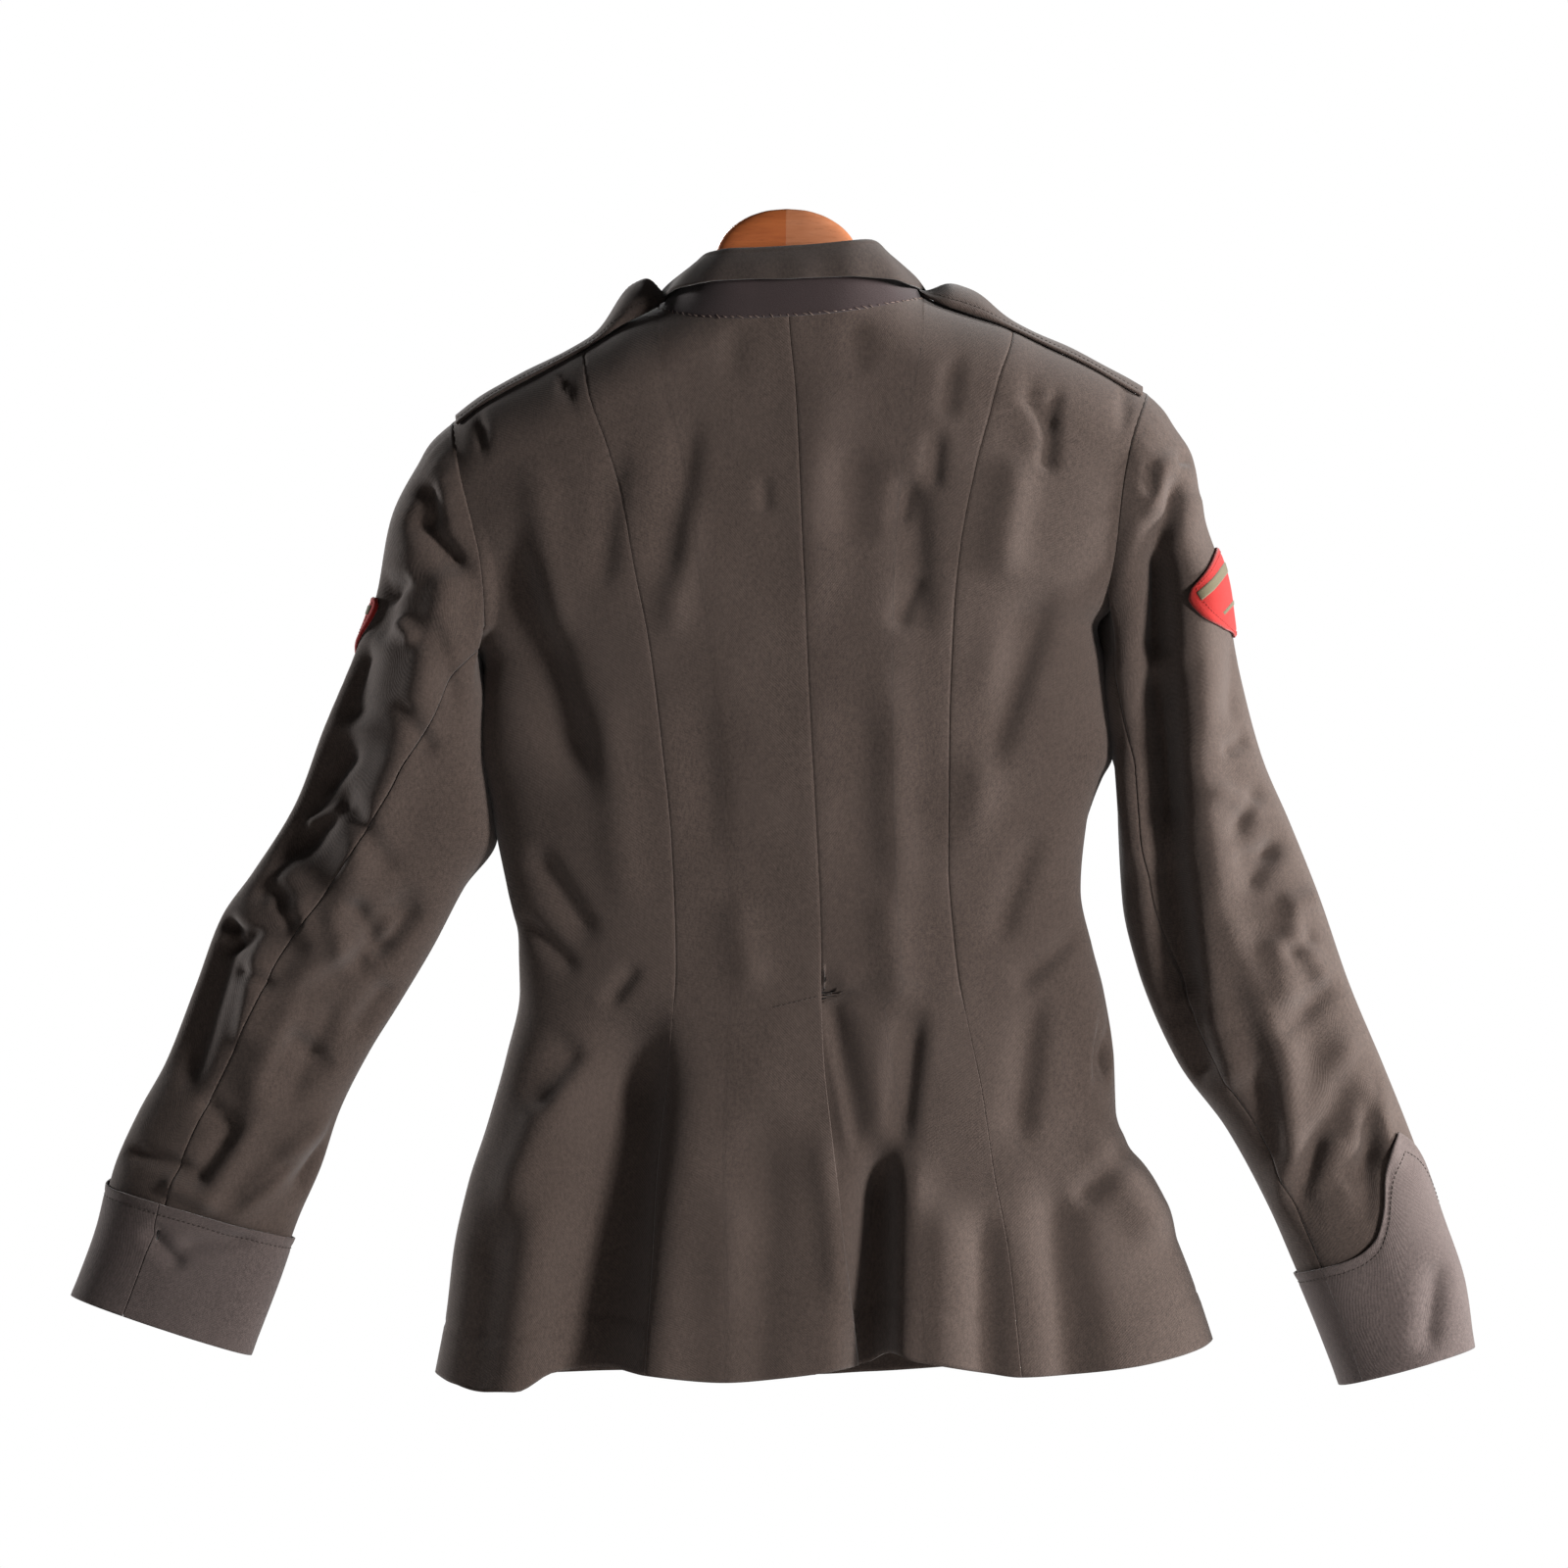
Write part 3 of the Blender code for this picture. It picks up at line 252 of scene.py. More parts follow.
def serge(name, colour, dust=0.0):
    """Wool serge: base colour, mixed fibres, broad wear, twill ribs across the cut piece, and lint."""
    paint = Paint(name, 0.92, Sheen_Weight=0.18, Sheen_Roughness=0.55, Specular_IOR_Level=0.18)
    here = paint.place()
    fibre = paint.noise(here, 0.9, 4.0, 0.7)
    streak = paint.noise(paint.place((1, 1, 0.55)), 1.7, 3.0, 0.6)
    broad = paint.noise(here, 85.0, 2.0, 0.5)
    dark = tuple(c * 0.62 for c in colour[:3]) + (1.0,)
    pale = tuple(min(1, c * 1.5) for c in colour[:3]) + (1.0,)
    mixed = paint.mix(fibre.between(0.36, 0.64) * 0.5 + streak.between(0.3, 0.7) * 0.5, dark, pale)
    grey = tuple(min(1, c * 1.22 + 0.006) for c in colour[:3]) + (1.0,)
    worn = paint.mix(broad.between(0.42, 0.72) * (0.4 + dust), mixed, grey)
    cells = paint.node("ShaderNodeTexVoronoi", Vector=here, Scale=1 / 15.0)
    lint = cells.math("LESS_THAN", LINT) * paint.noise(here, 40.0).between(0.5, 0.6)
    paint.feed("Base Color", paint.mix(lint * 0.55, worn, rgb(165, 150, 135)))
    uv = paint.node("ShaderNodeUVMap", {"uv_map": "cloth"})
    wave = paint.node("ShaderNodeTexWave", {"bands_direction": "DIAGONAL"}, Vector=uv, Scale=34.0,
                      Distortion=1.2, Detail=1.0)
    paint.bump(wave * 0.3 + fibre * 0.75, 0.22)
    return paint.material


def felt(name, colour, fuzz=1.0):
    """Pressed felt: fibres in every direction, no weave."""
    paint = Paint(name, 0.95, Sheen_Weight=0.25, Sheen_Roughness=0.6, Specular_IOR_Level=0.12)
    here = paint.place()
    fibre = paint.noise(here, 0.8, 5.0, 0.75)
    broad = paint.noise(here, 14.0, 2.0)
    dark = tuple(c * 0.72 for c in colour[:3]) + (1.0,)
    pale = tuple(min(1, c * 1.25) for c in colour[:3]) + (1.0,)
    paint.feed("Base Color", paint.mix(fibre.between(0.3, 0.7) * 0.6 + broad * 0.4, dark, pale))
    paint.bump(fibre * fuzz, 0.25)
    return paint.material


def wood(name, pale, dark):
    """Varnished beech: long grain that waves a little, with short pores."""
    paint = Paint(name, 0.42, Specular_IOR_Level=0.5, Coat_Weight=0.25, Coat_Roughness=0.25)
    grain = paint.noise(paint.place((0.12, 1, 1)), 4.0, 4.0, 0.6)
    pores = paint.noise(paint.place((0.08, 1, 1)), 0.9, 3.0, 0.7)
    body = paint.mix(grain.between(0.3, 0.75), rgb(*pale), rgb(*dark))
    deep = rgb(*(0.62 * c for c in dark))
    paint.feed("Base Color", paint.mix(pores.between(0.56, 0.72) * 0.45, body, deep))
    paint.bump(pores, 0.05)
    return paint.material


def plain(name, colour, roughness):
    """Thread or horn: one colour with a faint mottle."""
    paint = Paint(name, roughness)
    mottle = paint.noise(paint.place(), 2.5, 3.0)
    paint.feed("Base Color", paint.mix(mottle, tuple(c * 0.8 for c in colour[:3]) + (1.0,), colour))
    return paint.material


CLOTH = serge("wool_serge", rgb(72, 60, 54))
CUFF_CLOTH = serge("cuff_serge", rgb(84, 73, 70), dust=0.25)
# The collar is the body's wool in a darker copy: the darkening is painted shade, with a little wear from the
# dust share.
COLLAR_SHADED_CLOTH = serge("collar_serge", rgb(62, 52, 47), dust=0.1)
# The undercollar felt is dark in itself, and its colour is made darker still as painted shade for the shadow
# under the collar's fall.
UNDER_FELT_SHADED = felt("undercollar_felt", rgb(52, 39, 39))
RED_FELT = felt("red_felt", rgb(152, 20, 13), 0.8)
OLIVE_BAR = felt("olive_bar", rgb(96, 88, 66), 0.7)
WOOD = {"left": wood("wood_left", (190, 106, 56), (162, 84, 44)),
        "right": wood("wood_right", (190, 124, 88), (172, 104, 66))}
THREAD = plain("brown_thread", rgb(62, 52, 46), 0.7)
PALE_THREAD = plain("pale_thread", rgb(128, 108, 98), 0.7)
RED_THREAD = plain("red_thread", rgb(150, 34, 30), 0.7)
HORN = plain("horn_button", rgb(60, 46, 38), 0.35)
print("materials", len(bpy.data.materials))

# %% [markdown]
# ## The body's shape
# An empty jacket on a hanger is a flattened tube. At every level it is a ring that is wider than deep,
# a little boxier than an ellipse. Its width follows the outline: full at the chest, in at the waist
# and flared over the hips. Near the top the depth shrinks to nothing at the ridge of the shoulders,
# along a quarter circle.

# %% Body
BODY = table("z left right centre back front", [
    (0, -255, 262, 0, 52, 46), (-66, -252, 258, 1, 55, 46), (-112, -248, 252, 5, 57, 47),
    (-150, -240, 244, 7, 58, 48), (-175, -234, 236, 8, 58, 49), (-200, -226, 225, 9, 57, 50),
    (-220, -217, 214, 10, 56, 50), (-240, -206, 200, 11, 55, 50), (-254, -197, 188, 11.5, 54, 50),
    (-277, -184, 193.5, 12.5, 52, 49), (-300, -186.5, 196.5, 13.6, 51, 48.5), (-319, -188, 198, 14.5, 50, 48),
    (-333, -187, 197.2, 15.3, 49.5, 47), (-345, -183.5, 191, 16, 49, 46), (-360, -180, 185, 16.8, 48, 45),
    (-372, -177.5, 181.5, 17.5, 47, 44), (-413, -169, 178, 19.5, 42, 40), (-447, -162, 185, 20.5, 39, 38),
    (-474, -162, 192, 20.6, 40, 38), (-513, -170, 198, 22, 43, 41), (-556, -182, 200, 26.5, 47, 45),
    (-590, -193, 221, 30.5, 50, 48), (-631, -202, 239, 35, 53, 50), (-673, -207, 254, 40.5, 56, 52),
    (-705, -213, 264, 44, 58, 53),
])
RIDGE = table("x z", [
    (-202, -129), (-178, -111.5), (-147, -95.5), (-120, -81.5), (-96, -68), (-78, -59.5), (-50, -42),
    (-20, -26), (5, -21), (30, -25), (60, -40), (83, -53.5), (111, -63), (131, -69), (156, -80),
    (180, -91), (200, -102), (218, -112),
])
NECK = table("x z", [
    (-78, -59.5), (-73, -62.2), (-64, -65), (-52, -67), (-28, -68), (1, -67), (31, -64.5), (61, -59),
    (76, -55.6), (83, -53.5),
])
ARMHOLE = {
    "left": table("z x", [
        (-129, -202), (-160, -197), (-193, -189), (-215, -184.5), (-240, -182.5), (-277, -182)]),
    "right": table("z x", [
        (-112, 218), (-137, 208.5), (-156, 204), (-176, 201), (-206, 198), (-228, 194), (-242, 190),
        (-254, 188)]),
}
PRINCESS = {
    "left": table("z x", [
        (-60, -124), (-109, -120), (-146, -108), (-174, -100), (-222, -91), (-263, -83), (-336, -74),
        (-376, -70), (-415, -68), (-458, -67), (-490, -69), (-533, -74), (-582, -79), (-631, -81),
        (-703, -85)]),
    "right": table("z x", [
        (-50, 138), (-77, 136), (-105, 127), (-128, 121), (-158, 113), (-205, 104), (-248, 100),
        (-316, 97.5), (-396, 97), (-438, 100), (-464, 103), (-499, 110), (-533, 117), (-582, 124),
        (-631, 133), (-700, 140)]),
}
HEM_BACK = table("x z", [
    (-213, -705), (-202, -710), (-179, -714), (-163, -714), (-143, -702), (-114, -698), (-85, -703),
    (-38, -707), (0, -704), (43, -697), (61, -689), (75, -694), (92, -697), (118, -701), (140, -704),
    (176, -702), (206, -699), (228, -695), (250, -689), (260, -684),
])
HEM_FRONT = table("x z", [
    (-213, -705), (-160, -709), (-100, -708), (-10, -711), (10, -711), (100, -706), (180, -700),
    (260, -684),
])
print("levels of the body", len(BODY["z"]), "from", BODY["z"][0], "to", BODY["z"][-1])


def level(name, z):
    return through(BODY["z"], BODY[name], z)


def ridge(x):
    return through(RIDGE["x"], RIDGE["z"], x)


def spans(z, s):
    """Distance from the centre line to the side, on the side of s."""
    centre = level("centre", z)
    return np.where(s > 0, level("right", z) - centre, centre - level("left", z))


def body_base(a, g):
    """Body at angle a (0 in the middle, quarter turns at the sides) and way g down from the ridge, positive
    on the back: x = centre + span sin a, y = -depth (1 - |sin a|^p)^(1/p) sin(g / R), z = ridge - fall."""
    a, g = np.broadcast_arrays(np.asarray(a, float), np.asarray(g, float))
    down = np.abs(g)
    turn = np.minimum(down / SHOULDER_R, np.pi / 2)
    h = SHOULDER_R * (1 - np.cos(turn)) + np.maximum(down - SHOULDER_R * np.pi / 2, 0)
    s = np.sin(a)
    x = 220 * s
    for _ in range(10):
        z = ridge(x) - h
        x = level("centre", z) + spans(z, s) * s
    z = ridge(x) - h
    deep = np.where(g > 0, -level("back", z), level("front", z))
    y = deep * np.maximum(1 - np.abs(s) ** BODY_POWER, 0) ** (1 / BODY_POWER) * np.sin(turn)
    return np.stack([x, y, z], axis=-1)


def place(x, z, side):
    """The angle and the way down for a point seen at (x, z) on the back (1) or the front (-1)."""
    s = (x - level("centre", z)) / spans(z, x - level("centre", z))
    h = np.maximum(ridge(x) - z, 0)
    turn = np.arccos(np.clip(1 - h / SHOULDER_R, 0, 1))
    return np.arcsin(np.clip(s, -1, 1)), side * (SHOULDER_R * turn + np.maximum(h - SHOULDER_R, 0))


# %% [markdown]
# ## Folds
# The cloth hangs from the shoulders and the neck, so most folds run down and fan out below the waist.
# Each is listed with a line from its start to its end, a height (below zero for a trough) and a
# width on each side, so that a fold can have one sharp side as on the real jacket. The hidden front
# has folds of the same kind. A few broad slow waves keep the rest from being dead smooth.

# %% Folds
BODY_FOLDS = table("side x0 z0 x1 z1 height wl wr", [
    # the largest, which the CAD walls also have
    (1, -167, -207, -122, -346, -9, 24, 13), (1, -57, -134, -71, -226, -3.5, 12, 8),
    (1, 41, -150, 41, -202, -3, 16, 14), (1, 76, -168, 80, -254, -4, 14, 9),
    (1, 138, -156, 128, -222, 5, 14, 12), (1, 156, -238, 121, -336, -7, 18, 9),
    (1, -128, -505, -152, -543, -6, 12, 8), (1, -136, -524, -169, -603, 6, 13, 14),
    (1, -88, -500, -128, -700, -27, 26, 30), (1, -66, -500, -82, -700, 6, 10, 20),
    (1, -30, -590, -28, -708, 3, 22, 22),
    (1, -148, -600, -160, -712, 7, 16, 18), (1, 26, -478, 43, -565, -6, 4, 11),
    (1, 78, -490, 69, -563, -6, 11, 6), (1, 55, -570, 47, -697, -21, 12, 15),
    (1, 68, -575, 68, -693, 8, 5, 16),
    (1, 95, -600, 93, -700, 7, 14, 20), (1, 186, -513, 196, -514, -8, 12, 16),
    (1, 184, -556, 227, -622, 7, 14, 14), (1, 160, -590, 172, -700, -7, 14, 16),
    # creases of the back
    (1, 141, -112, 158, -138, -3, 4, 6), (1, 160, -116, 158, -138, -2.6, 5, 4),
    (1, 158, -138, 156, -160, -3, 6, 5), (1, 202, -112, 204, -132, -2, 4, 4),
    (1, -138, -107, -128, -115, -2, 4, 4), (1, -184, -130, -183, -146, -2.2, 4, 4),
    (1, 90, -140, 88, -171, -3, 7, 5), (1, 74, -168, 68, -194, -2.6, 7, 5),
    (1, 78, -226, 67, -254, -2.6, 7, 5), (1, -14, -165, -13, -186, -1.6, 5, 5),
    (1, -91, -459, -108, -481, -2.6, 6, 5), (1, -52, -300, -46, -390, -2.4, 16, 12),
    (1, 48, -300, 44, -400, -2.4, 16, 16), (1, -30, -420, -22, -470, 2.2, 12, 12),
    (1, 60, -420, 66, -480, 2.4, 12, 12), (1, 150, -380, 128, -440, -3.4, 10, 7),
    (1, -150, -390, -118, -440, -3.4, 10, 7), (1, -158, -430, -128, -460, -2.6, 7, 5),
    (1, 176, -440, 140, -470, -3.0, 8, 5), (1, 150, -480, 140, -560, -3.6, 12, 8),
    (1, -12, -560, -18, -690, -3.4, 18, 14), (1, 118, -610, 121, -695, -4.4, 11, 10),
    (1, -180, -620, -188, -700, -1.2, 10, 10), (1, -100, -150, -112, -230, -2.4, 11, 8),
    (1, 20, -560, 34, -660, 2.4, 9, 12), (1, -60, -180, -70, -260, 2.2, 9, 10),
    (1, 100, -96, 96, -128, -2, 7, 6), (1, -30, -76, -34, -104, -1.4, 8, 8),
    (1, 40, -74, 46, -100, -1.4, 8, 8), (1, 205, -570, 176, -598, -3.4, 8, 8),
    (1, -150, -160, -140, -260, 2.6, 12, 12), (1, 20, -110, 16, -240, 1.8, 14, 16),
    (1, 60, -280, 66, -420, 2.0, 12, 12), (1, 128, -260, 112, -380, 2.8, 12, 12),
    (1, -110, -300, -96, -420, 2.4, 12, 14), (1, -96, -540, -130, -690, 3.0, 14, 14),
    # creases of the front
    (-1, -150, -130, -150, -190, -1.6, 6, 6), (-1, 165, -120, 160, -180, -1.6, 6, 6),
    (-1, -150, -400, -70, -450, -2.4, 8, 7), (-1, 160, -400, 70, -452, -2.4, 8, 7),
    (-1, -60, -340, -20, -352, -1.5, 6, 6), (-1, 70, -345, 20, -352, -1.5, 6, 6),
    (-1, -40, -440, -20, -520, -1.4, 8, 8), (-1, 60, -450, 40, -530, -1.4, 8, 8),
    (-1, -110, -480, -128, -560, -2.2, 9, 8), (-1, 130, -480, 150, -560, -2.2, 8, 9),
    (-1, -20, -600, -26, -700, 2.4, 14, 14), (-1, 40, -600, 44, -700, 2.6, 14, 14),
    (-1, -178, -600, -186, -690, -2.6, 8, 9), (-1, 215, -620, 232, -680, -2.6, 9, 8),
    (-1, -90, -120, -96, -200, 1.4, 12, 10), (-1, 110, -120, 112, -210, 1.4, 10, 12),
])
WAVES = table("kx kz phase size", [
    (0.031, 0.017, 0.3, 0.35), (-0.023, 0.041, 1.9, 0.3), (0.067, -0.019, 4.1, 0.22),
    (0.012, 0.083, 2.2, 0.2), (0.11, 0.034, 0.9, 0.12), (-0.09, 0.071, 5.2, 0.12),
    (0.17, 0.12, 3.3, 0.06), (-0.21, 0.09, 0.4, 0.05),
])
CREASE, LARGE = 1.25, 4.2  # folds lower than LARGE stand this much higher than their row says
print("folds of the body", len(BODY_FOLDS["side"]))


def folds(rows, side, x, z, low=-680):
    """Height of every fold at (x, z): height exp(-(d / width)^2) along each line, fading at its ends."""
    total = np.zeros(np.broadcast(x, z).shape)
    heights = np.where(np.abs(rows["height"]) < LARGE, CREASE * rows["height"], rows["height"])
    for i in range(len(rows["x0"])):
        dx, dz = rows["x1"][i] - rows["x0"][i], rows["z1"][i] - rows["z0"][i]
        length = np.hypot(dx, dz)
        along = ((x - rows["x0"][i]) * dx + (z - rows["z0"][i]) * dz) / length**2
        across = ((x - rows["x0"][i]) * -dz + (z - rows["z0"][i]) * dx) / length
        width = np.where(across > 0, rows["wr"][i], rows["wl"][i])
        fade = ease((along + 0.15) / 0.35) * ease((1.15 - along) / (0.35 if rows["z1"][i] > low else 0.01))
        total = total + (side == rows["side"][i]) * heights[i] * fade * np.exp(-((across / width) ** 2))
    return total


def waves(x, z, side):
    """Slow unevenness: a sum of sines, the same everywhere on one face."""
    total = np.zeros(np.broadcast(x, z).shape)
    for i in range(len(WAVES["kx"])):
        total = total + WAVES["size"][i] * np.sin(
            WAVES["kx"][i] * x * side + WAVES["kz"][i] * z + WAVES["phase"][i] + side)
    return total


# %% [markdown]
# ## Body panels
# A cutter makes the back from a centre back and a side back on each side, joined by long curved seams
# that shape the waist, and a front on each side. A panel's grid runs between two of its edges. Each
# seam is pressed open, so it is a fine groove between two slightly raised bands that pucker a little.

# %% Panels
def side_angle(hand, z):
    """Angle of the edge by the sleeve: the armhole, which runs into the side seam over its last 24 mm."""
    hole, sign = ARMHOLE[hand], SIGN[hand]
    pit = hole["z"][-1]
    edge = through(hole["z"], hole["x"], np.clip(z, pit, hole["z"][0]))
    s = (edge - level("centre", z)) / spans(z, sign * np.ones_like(z))
    armhole = np.arcsin(np.clip(s, -1, 1))
    return armhole + (sign * np.pi / 2 - armhole) * ease((pit + 24 - z) / 24)


def line_angle(zs, xs, z):
    """Angle of a seam or an edge given by rows of z and x."""
    x = through(zs, xs, z)
    s = (x - level("centre", z)) / spans(z, x - level("centre", z))
    return np.arcsin(np.clip(s, -1, 1))


def back_top(x):
    inside = (x > NECK["x"][0]) & (x < NECK["x"][-1])
    return np.where(inside, through(NECK["x"], NECK["z"], x), ridge(x))


FRONT_EDGE = {"left": 17.0, "right": -13.0}
BREAK_Z = -330.0
NECK_POINT = {"left": (-78.0, -59.5), "right": (83.0, -53.5)}


def opening_z(hand, x):
    """Height of the opening's edge at x, or of the ridge outside it."""
    (x0, z0), x1 = NECK_POINT[hand], FRONT_EDGE[hand]
    share = np.clip((x - x0) / (x1 - x0), 0, 1)
    return np.where(share > 0, np.minimum(z0 + (BREAK_Z - z0) * share, ridge(x)), ridge(x))


def opening_x(hand, z):
    """x of the opening's edge at a height."""
    (x0, z0), x1 = NECK_POINT[hand], FRONT_EDGE[hand]
    return x0 + (x1 - x0) * np.clip((z - z0) / (BREAK_Z - z0), 0, 1)


def shares(count, corner=None):
    """Shares of the way across, with one of them moved to the corner."""
    u = np.linspace(0, 1, count - 6)
    near = np.array([0.005, 0.01, 0.018])
    u = np.sort(np.concatenate([u, near, 1 - near]))
    if corner is not None:
        u[np.abs(u - corner).argmin()] = corner
    return u


def panel_grid(first, second, count, side, top, hem, down, corner=None):
    """Base grid of a panel between two edges, each an angle for a height, with rows from top to hem."""
    def x_of(u, z):
        a = first(z) + (second(z) - first(z)) * u
        return level("centre", z) + spans(z, np.sin(a)) * np.sin(a)

    def meet(u, line):
        low, high = np.full_like(u, -760.0), np.full_like(u, -15.0)
        for _ in range(40):
            mid = (low + high) / 2
            above = mid > line(x_of(u, mid))
            low, high = np.where(above, low, mid), np.where(above, mid, high)
        return (low + high) / 2

    at = None
    if corner is not None:
        low, high = np.array([0.0]), np.array([1.0])
        rising = x_of(high, np.array([-60.0])) > x_of(low, np.array([-60.0]))
        for _ in range(40):
            mid = (low + high) / 2
            past = x_of(mid, meet(mid, ridge)) > corner
            low, high = (low, mid) if past[0] == rising[0] else (mid, high)
        at = low[0]
    u = shares(count, at)
    z_top, z_hem = meet(u, top), meet(u, hem)
    v = np.linspace(0, 1, down)[:, None]
    turn_rows = 10 if FINE == 1 else 6
    early = np.linspace(0, np.pi / 2, turn_rows)[:-1, None]
    over = SHOULDER_R * 0.9  # the rows are close together down to this far below the ridge
    z = np.concatenate([z_top - over * (1 - np.cos(early)), z_top - over + (z_hem - z_top + over) * v])
    a = first(z) + (second(z) - first(z)) * u
    way = np.sign(a[:, -1:] - a[:, :1])
    a[:, :1] += way * SEAM / 180
    a[:, -1:] -= way * SEAM / 180
    x = level("centre", z) + spans(z, np.sin(a)) * np.sin(a)
    return a, place(x, z, side)[1]


def seams_relief(points, lines):
    """Groove and bands along seams: each line gives x for z."""
    x, z = points[..., 0], points[..., 2]
    total = np.zeros_like(x)
    for zs, xs in lines:
        d = np.abs(x - through(zs, xs, z))
        pucker = 1 + 0.45 * np.sin(z * 0.37 + xs[0]) * np.sin(z * 0.113 + 1.3)
        total += 0.14 * pucker * np.exp(-(((d - 6) / 5.0) ** 2)) - 0.42 * np.exp(-((d / 0.8) ** 2))
    return total


def hem_relief(points, line, turned=32.0):
    """A turned-up hem: slightly thicker up to its stitching, with a faint dent there."""
    above = points[..., 2] - line(points[..., 0])
    return 0.35 * ease((turned - above) / 4) - 0.5 * np.exp(-(((above - turned) / 3) ** 2))


LINES = [(BODY["z"], BODY["centre"])] + [(PRINCESS[h]["z"], PRINCESS[h]["x"]) for h in SIGN]


def dress(points, side, calm, relief=0.0):
    """Base points moved along their normals by the folds, the slow waves and the seams' relief."""
    n = outward(points, np.stack([points[..., 0] * 0, points[..., 1] * 0 - side, points[..., 0] * 0], -1))
    x, z = points[..., 0], points[..., 2]
    more = (folds(BODY_FOLDS, side, x, z) + waves(x, z, side)) * calm
    return points + n * (more + relief)[..., None]


def calm_at(a, points, hand):
    """0 at the sides and by the armhole and shoulder ridge, 1 elsewhere."""
    edge = side_angle(hand, points[..., 2])
    near_arm = np.abs(edge - a) * np.abs(spans(points[..., 2], SIGN[hand] * np.ones_like(a))) / 14
    over = (ridge(points[..., 0]) - points[..., 2]) / 10
    return ease(near_arm) * (0.15 + 0.85 * ease(over))


def cloth_uv(grid):
    """Where each point was on the cut piece, in millimetres: length along its row and down its column."""
    wide = np.linalg.norm(np.diff(grid, axis=1), axis=-1)
    long = np.linalg.norm(np.diff(grid, axis=0), axis=-1)
    u = np.concatenate([np.zeros((len(grid), 1)), np.cumsum(wide, axis=1)], axis=1)
    v = np.concatenate([np.zeros((1, grid.shape[1])), np.cumsum(long, axis=0)], axis=0)
    return np.stack([u, v], -1)


MADE = {}


def sew(name, grid, normal, thick, material, nodes):
    """Shell of a piece that stands for its CAD node, which it hides; it keeps the grid and normals and works
    out the cloth's flat size.
    """
    obj = shell(name + "_cloth", grid, normal, thick, material, cloth_uv(grid))
    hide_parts(nodes)
    wide, long, area = flat_size(grid)
    MADE[name] = (grid, normal)


def on_piece(name, down, across):
    """Points and normals on a sewn piece, at shares down and across its grid, between its grid points."""
    found = []
    for values in MADE[name]:
        rows, cols = values.shape[:2]
        i, j = np.asarray(down) * (rows - 1), np.asarray(across) * (cols - 1)
        i0, j0 = np.clip(i.astype(int), 0, rows - 2), np.clip(j.astype(int), 0, cols - 2)
        fi, fj = (i - i0)[..., None], (j - j0)[..., None]
        upper = values[i0, j0] * (1 - fj) + values[i0, j0 + 1] * fj
        lower = values[i0 + 1, j0] * (1 - fj) + values[i0 + 1, j0 + 1] * fj
        found.append(upper * (1 - fi) + lower * fi)
    return found[0], unit(found[1])


def sunk_by_vent(points):
    """How far the right back sinks beside and under the left one, from a little above the vent."""
    x, z = points[..., 0], points[..., 2]
    near = ease((level("centre", z) + 16 - x) / 15)
    return SUNK * near * ease((VENT_TOP + 26 - z) / 26)


for hand, sign in SIGN.items():
    def centre(z, sign=sign):
        if sign < 0:
            return np.zeros_like(z)
        under = ease((VENT_TOP + 3 - z) / 4) * ease((VENT_TOP + 3 - z) / 12)
        return line_angle(BODY["z"], BODY["centre"], z) - UNDERLAP * under / 175

    def princess(z, hand=hand):
        return line_angle(PRINCESS[hand]["z"], PRINCESS[hand]["x"], z)

    def arm(z, hand=hand):
        return side_angle(hand, z)

    def hem(x):
        return through(HEM_BACK["x"], HEM_BACK["z"], x)

    for name, first, second, count, corner in (
        ("back_", centre, princess, spread(58), NECK_POINT[hand][0]),
        ("side_back_", princess, arm, spread(56), None),
    ):
        a, g = panel_grid(first, second, count, 1, back_top, hem, spread(230), corner)
        base = body_base(a, g)
        relief = seams_relief(base, LINES) * ease((base[..., 2] - VENT_TOP + 10) / 10)
        relief = relief + hem_relief(base, hem)
        grid = dress(base, 1, calm_at(a, base, hand), relief)
        n = outward(grid, np.array([0, -1.0, 0]))
        if name + hand == "back_right":
            grid = grid - n * sunk_by_vent(grid)[..., None]
        sew(name + hand, grid, n, SERGE, CLOTH, name + hand)

# %% [markdown]
# ## Fronts
# The fronts aren't seen in the photo, so they are finished plainly. They have an opening for the
# lapels and close right over left on three buttons. The left front lies just inside the right one.

# %% Fronts
def front_hem(x):
    return through(HEM_FRONT["x"], HEM_FRONT["z"], x)


def sunk_by_closing(points):
    """How far the left front lies inside the right one."""
    x, z = points[..., 0], points[..., 2]
    reach = np.maximum(FRONT_EDGE["right"], opening_x("right", z))
    return (SUNK + 0.4) * ease((x - reach + 32) / 16)


DART = {"left": [(-225.0, -92.0), (-400.0, -78.0), (-460.0, -76.0), (-720.0, -92.0)],
        "right": [(-225.0, 100.0), (-400.0, 92.0), (-460.0, 94.0), (-720.0, 122.0)]}
for hand in SIGN:
    def arm(z, hand=hand):
        return side_angle(hand, z)

    def edge(z, hand=hand):
        return line_angle(np.array([-720.0, 0.0]), np.array([FRONT_EDGE[hand]] * 2), z)

    def top(x, hand=hand):
        return opening_z(hand, x)

    a, g = panel_grid(arm, edge, spread(96), -1, top, front_hem, spread(200), NECK_POINT[hand][0])
    base = body_base(a, g)
    dart = tuple(np.array(c) for c in zip(*DART[hand]))
    relief = seams_relief(base, [dart]) * ease((-215 - base[..., 2]) / 20) + hem_relief(base, front_hem)
    grid = dress(base, -1, calm_at(a, base, hand), relief)
    n = outward(grid, np.array([0, 1.0, 0]))
    if hand == "left":
        grid = grid - n * sunk_by_closing(grid)[..., None]
    sew("front_" + hand, grid, n, SERGE, CLOTH, "front_" + hand)

# %% [markdown]
# ## Sleeves
# Each sleeve is a two-piece tube: a top sleeve and a narrower under sleeve, joined by an elbow seam
# that shows on the back and a seam on the hidden side. The rings run from the armhole to the wrist,
# bent at the elbow as the photo shows. The right sleeve is turned so that a deep furrow runs down
# its back, and the left one has a long furrow from the shoulder.

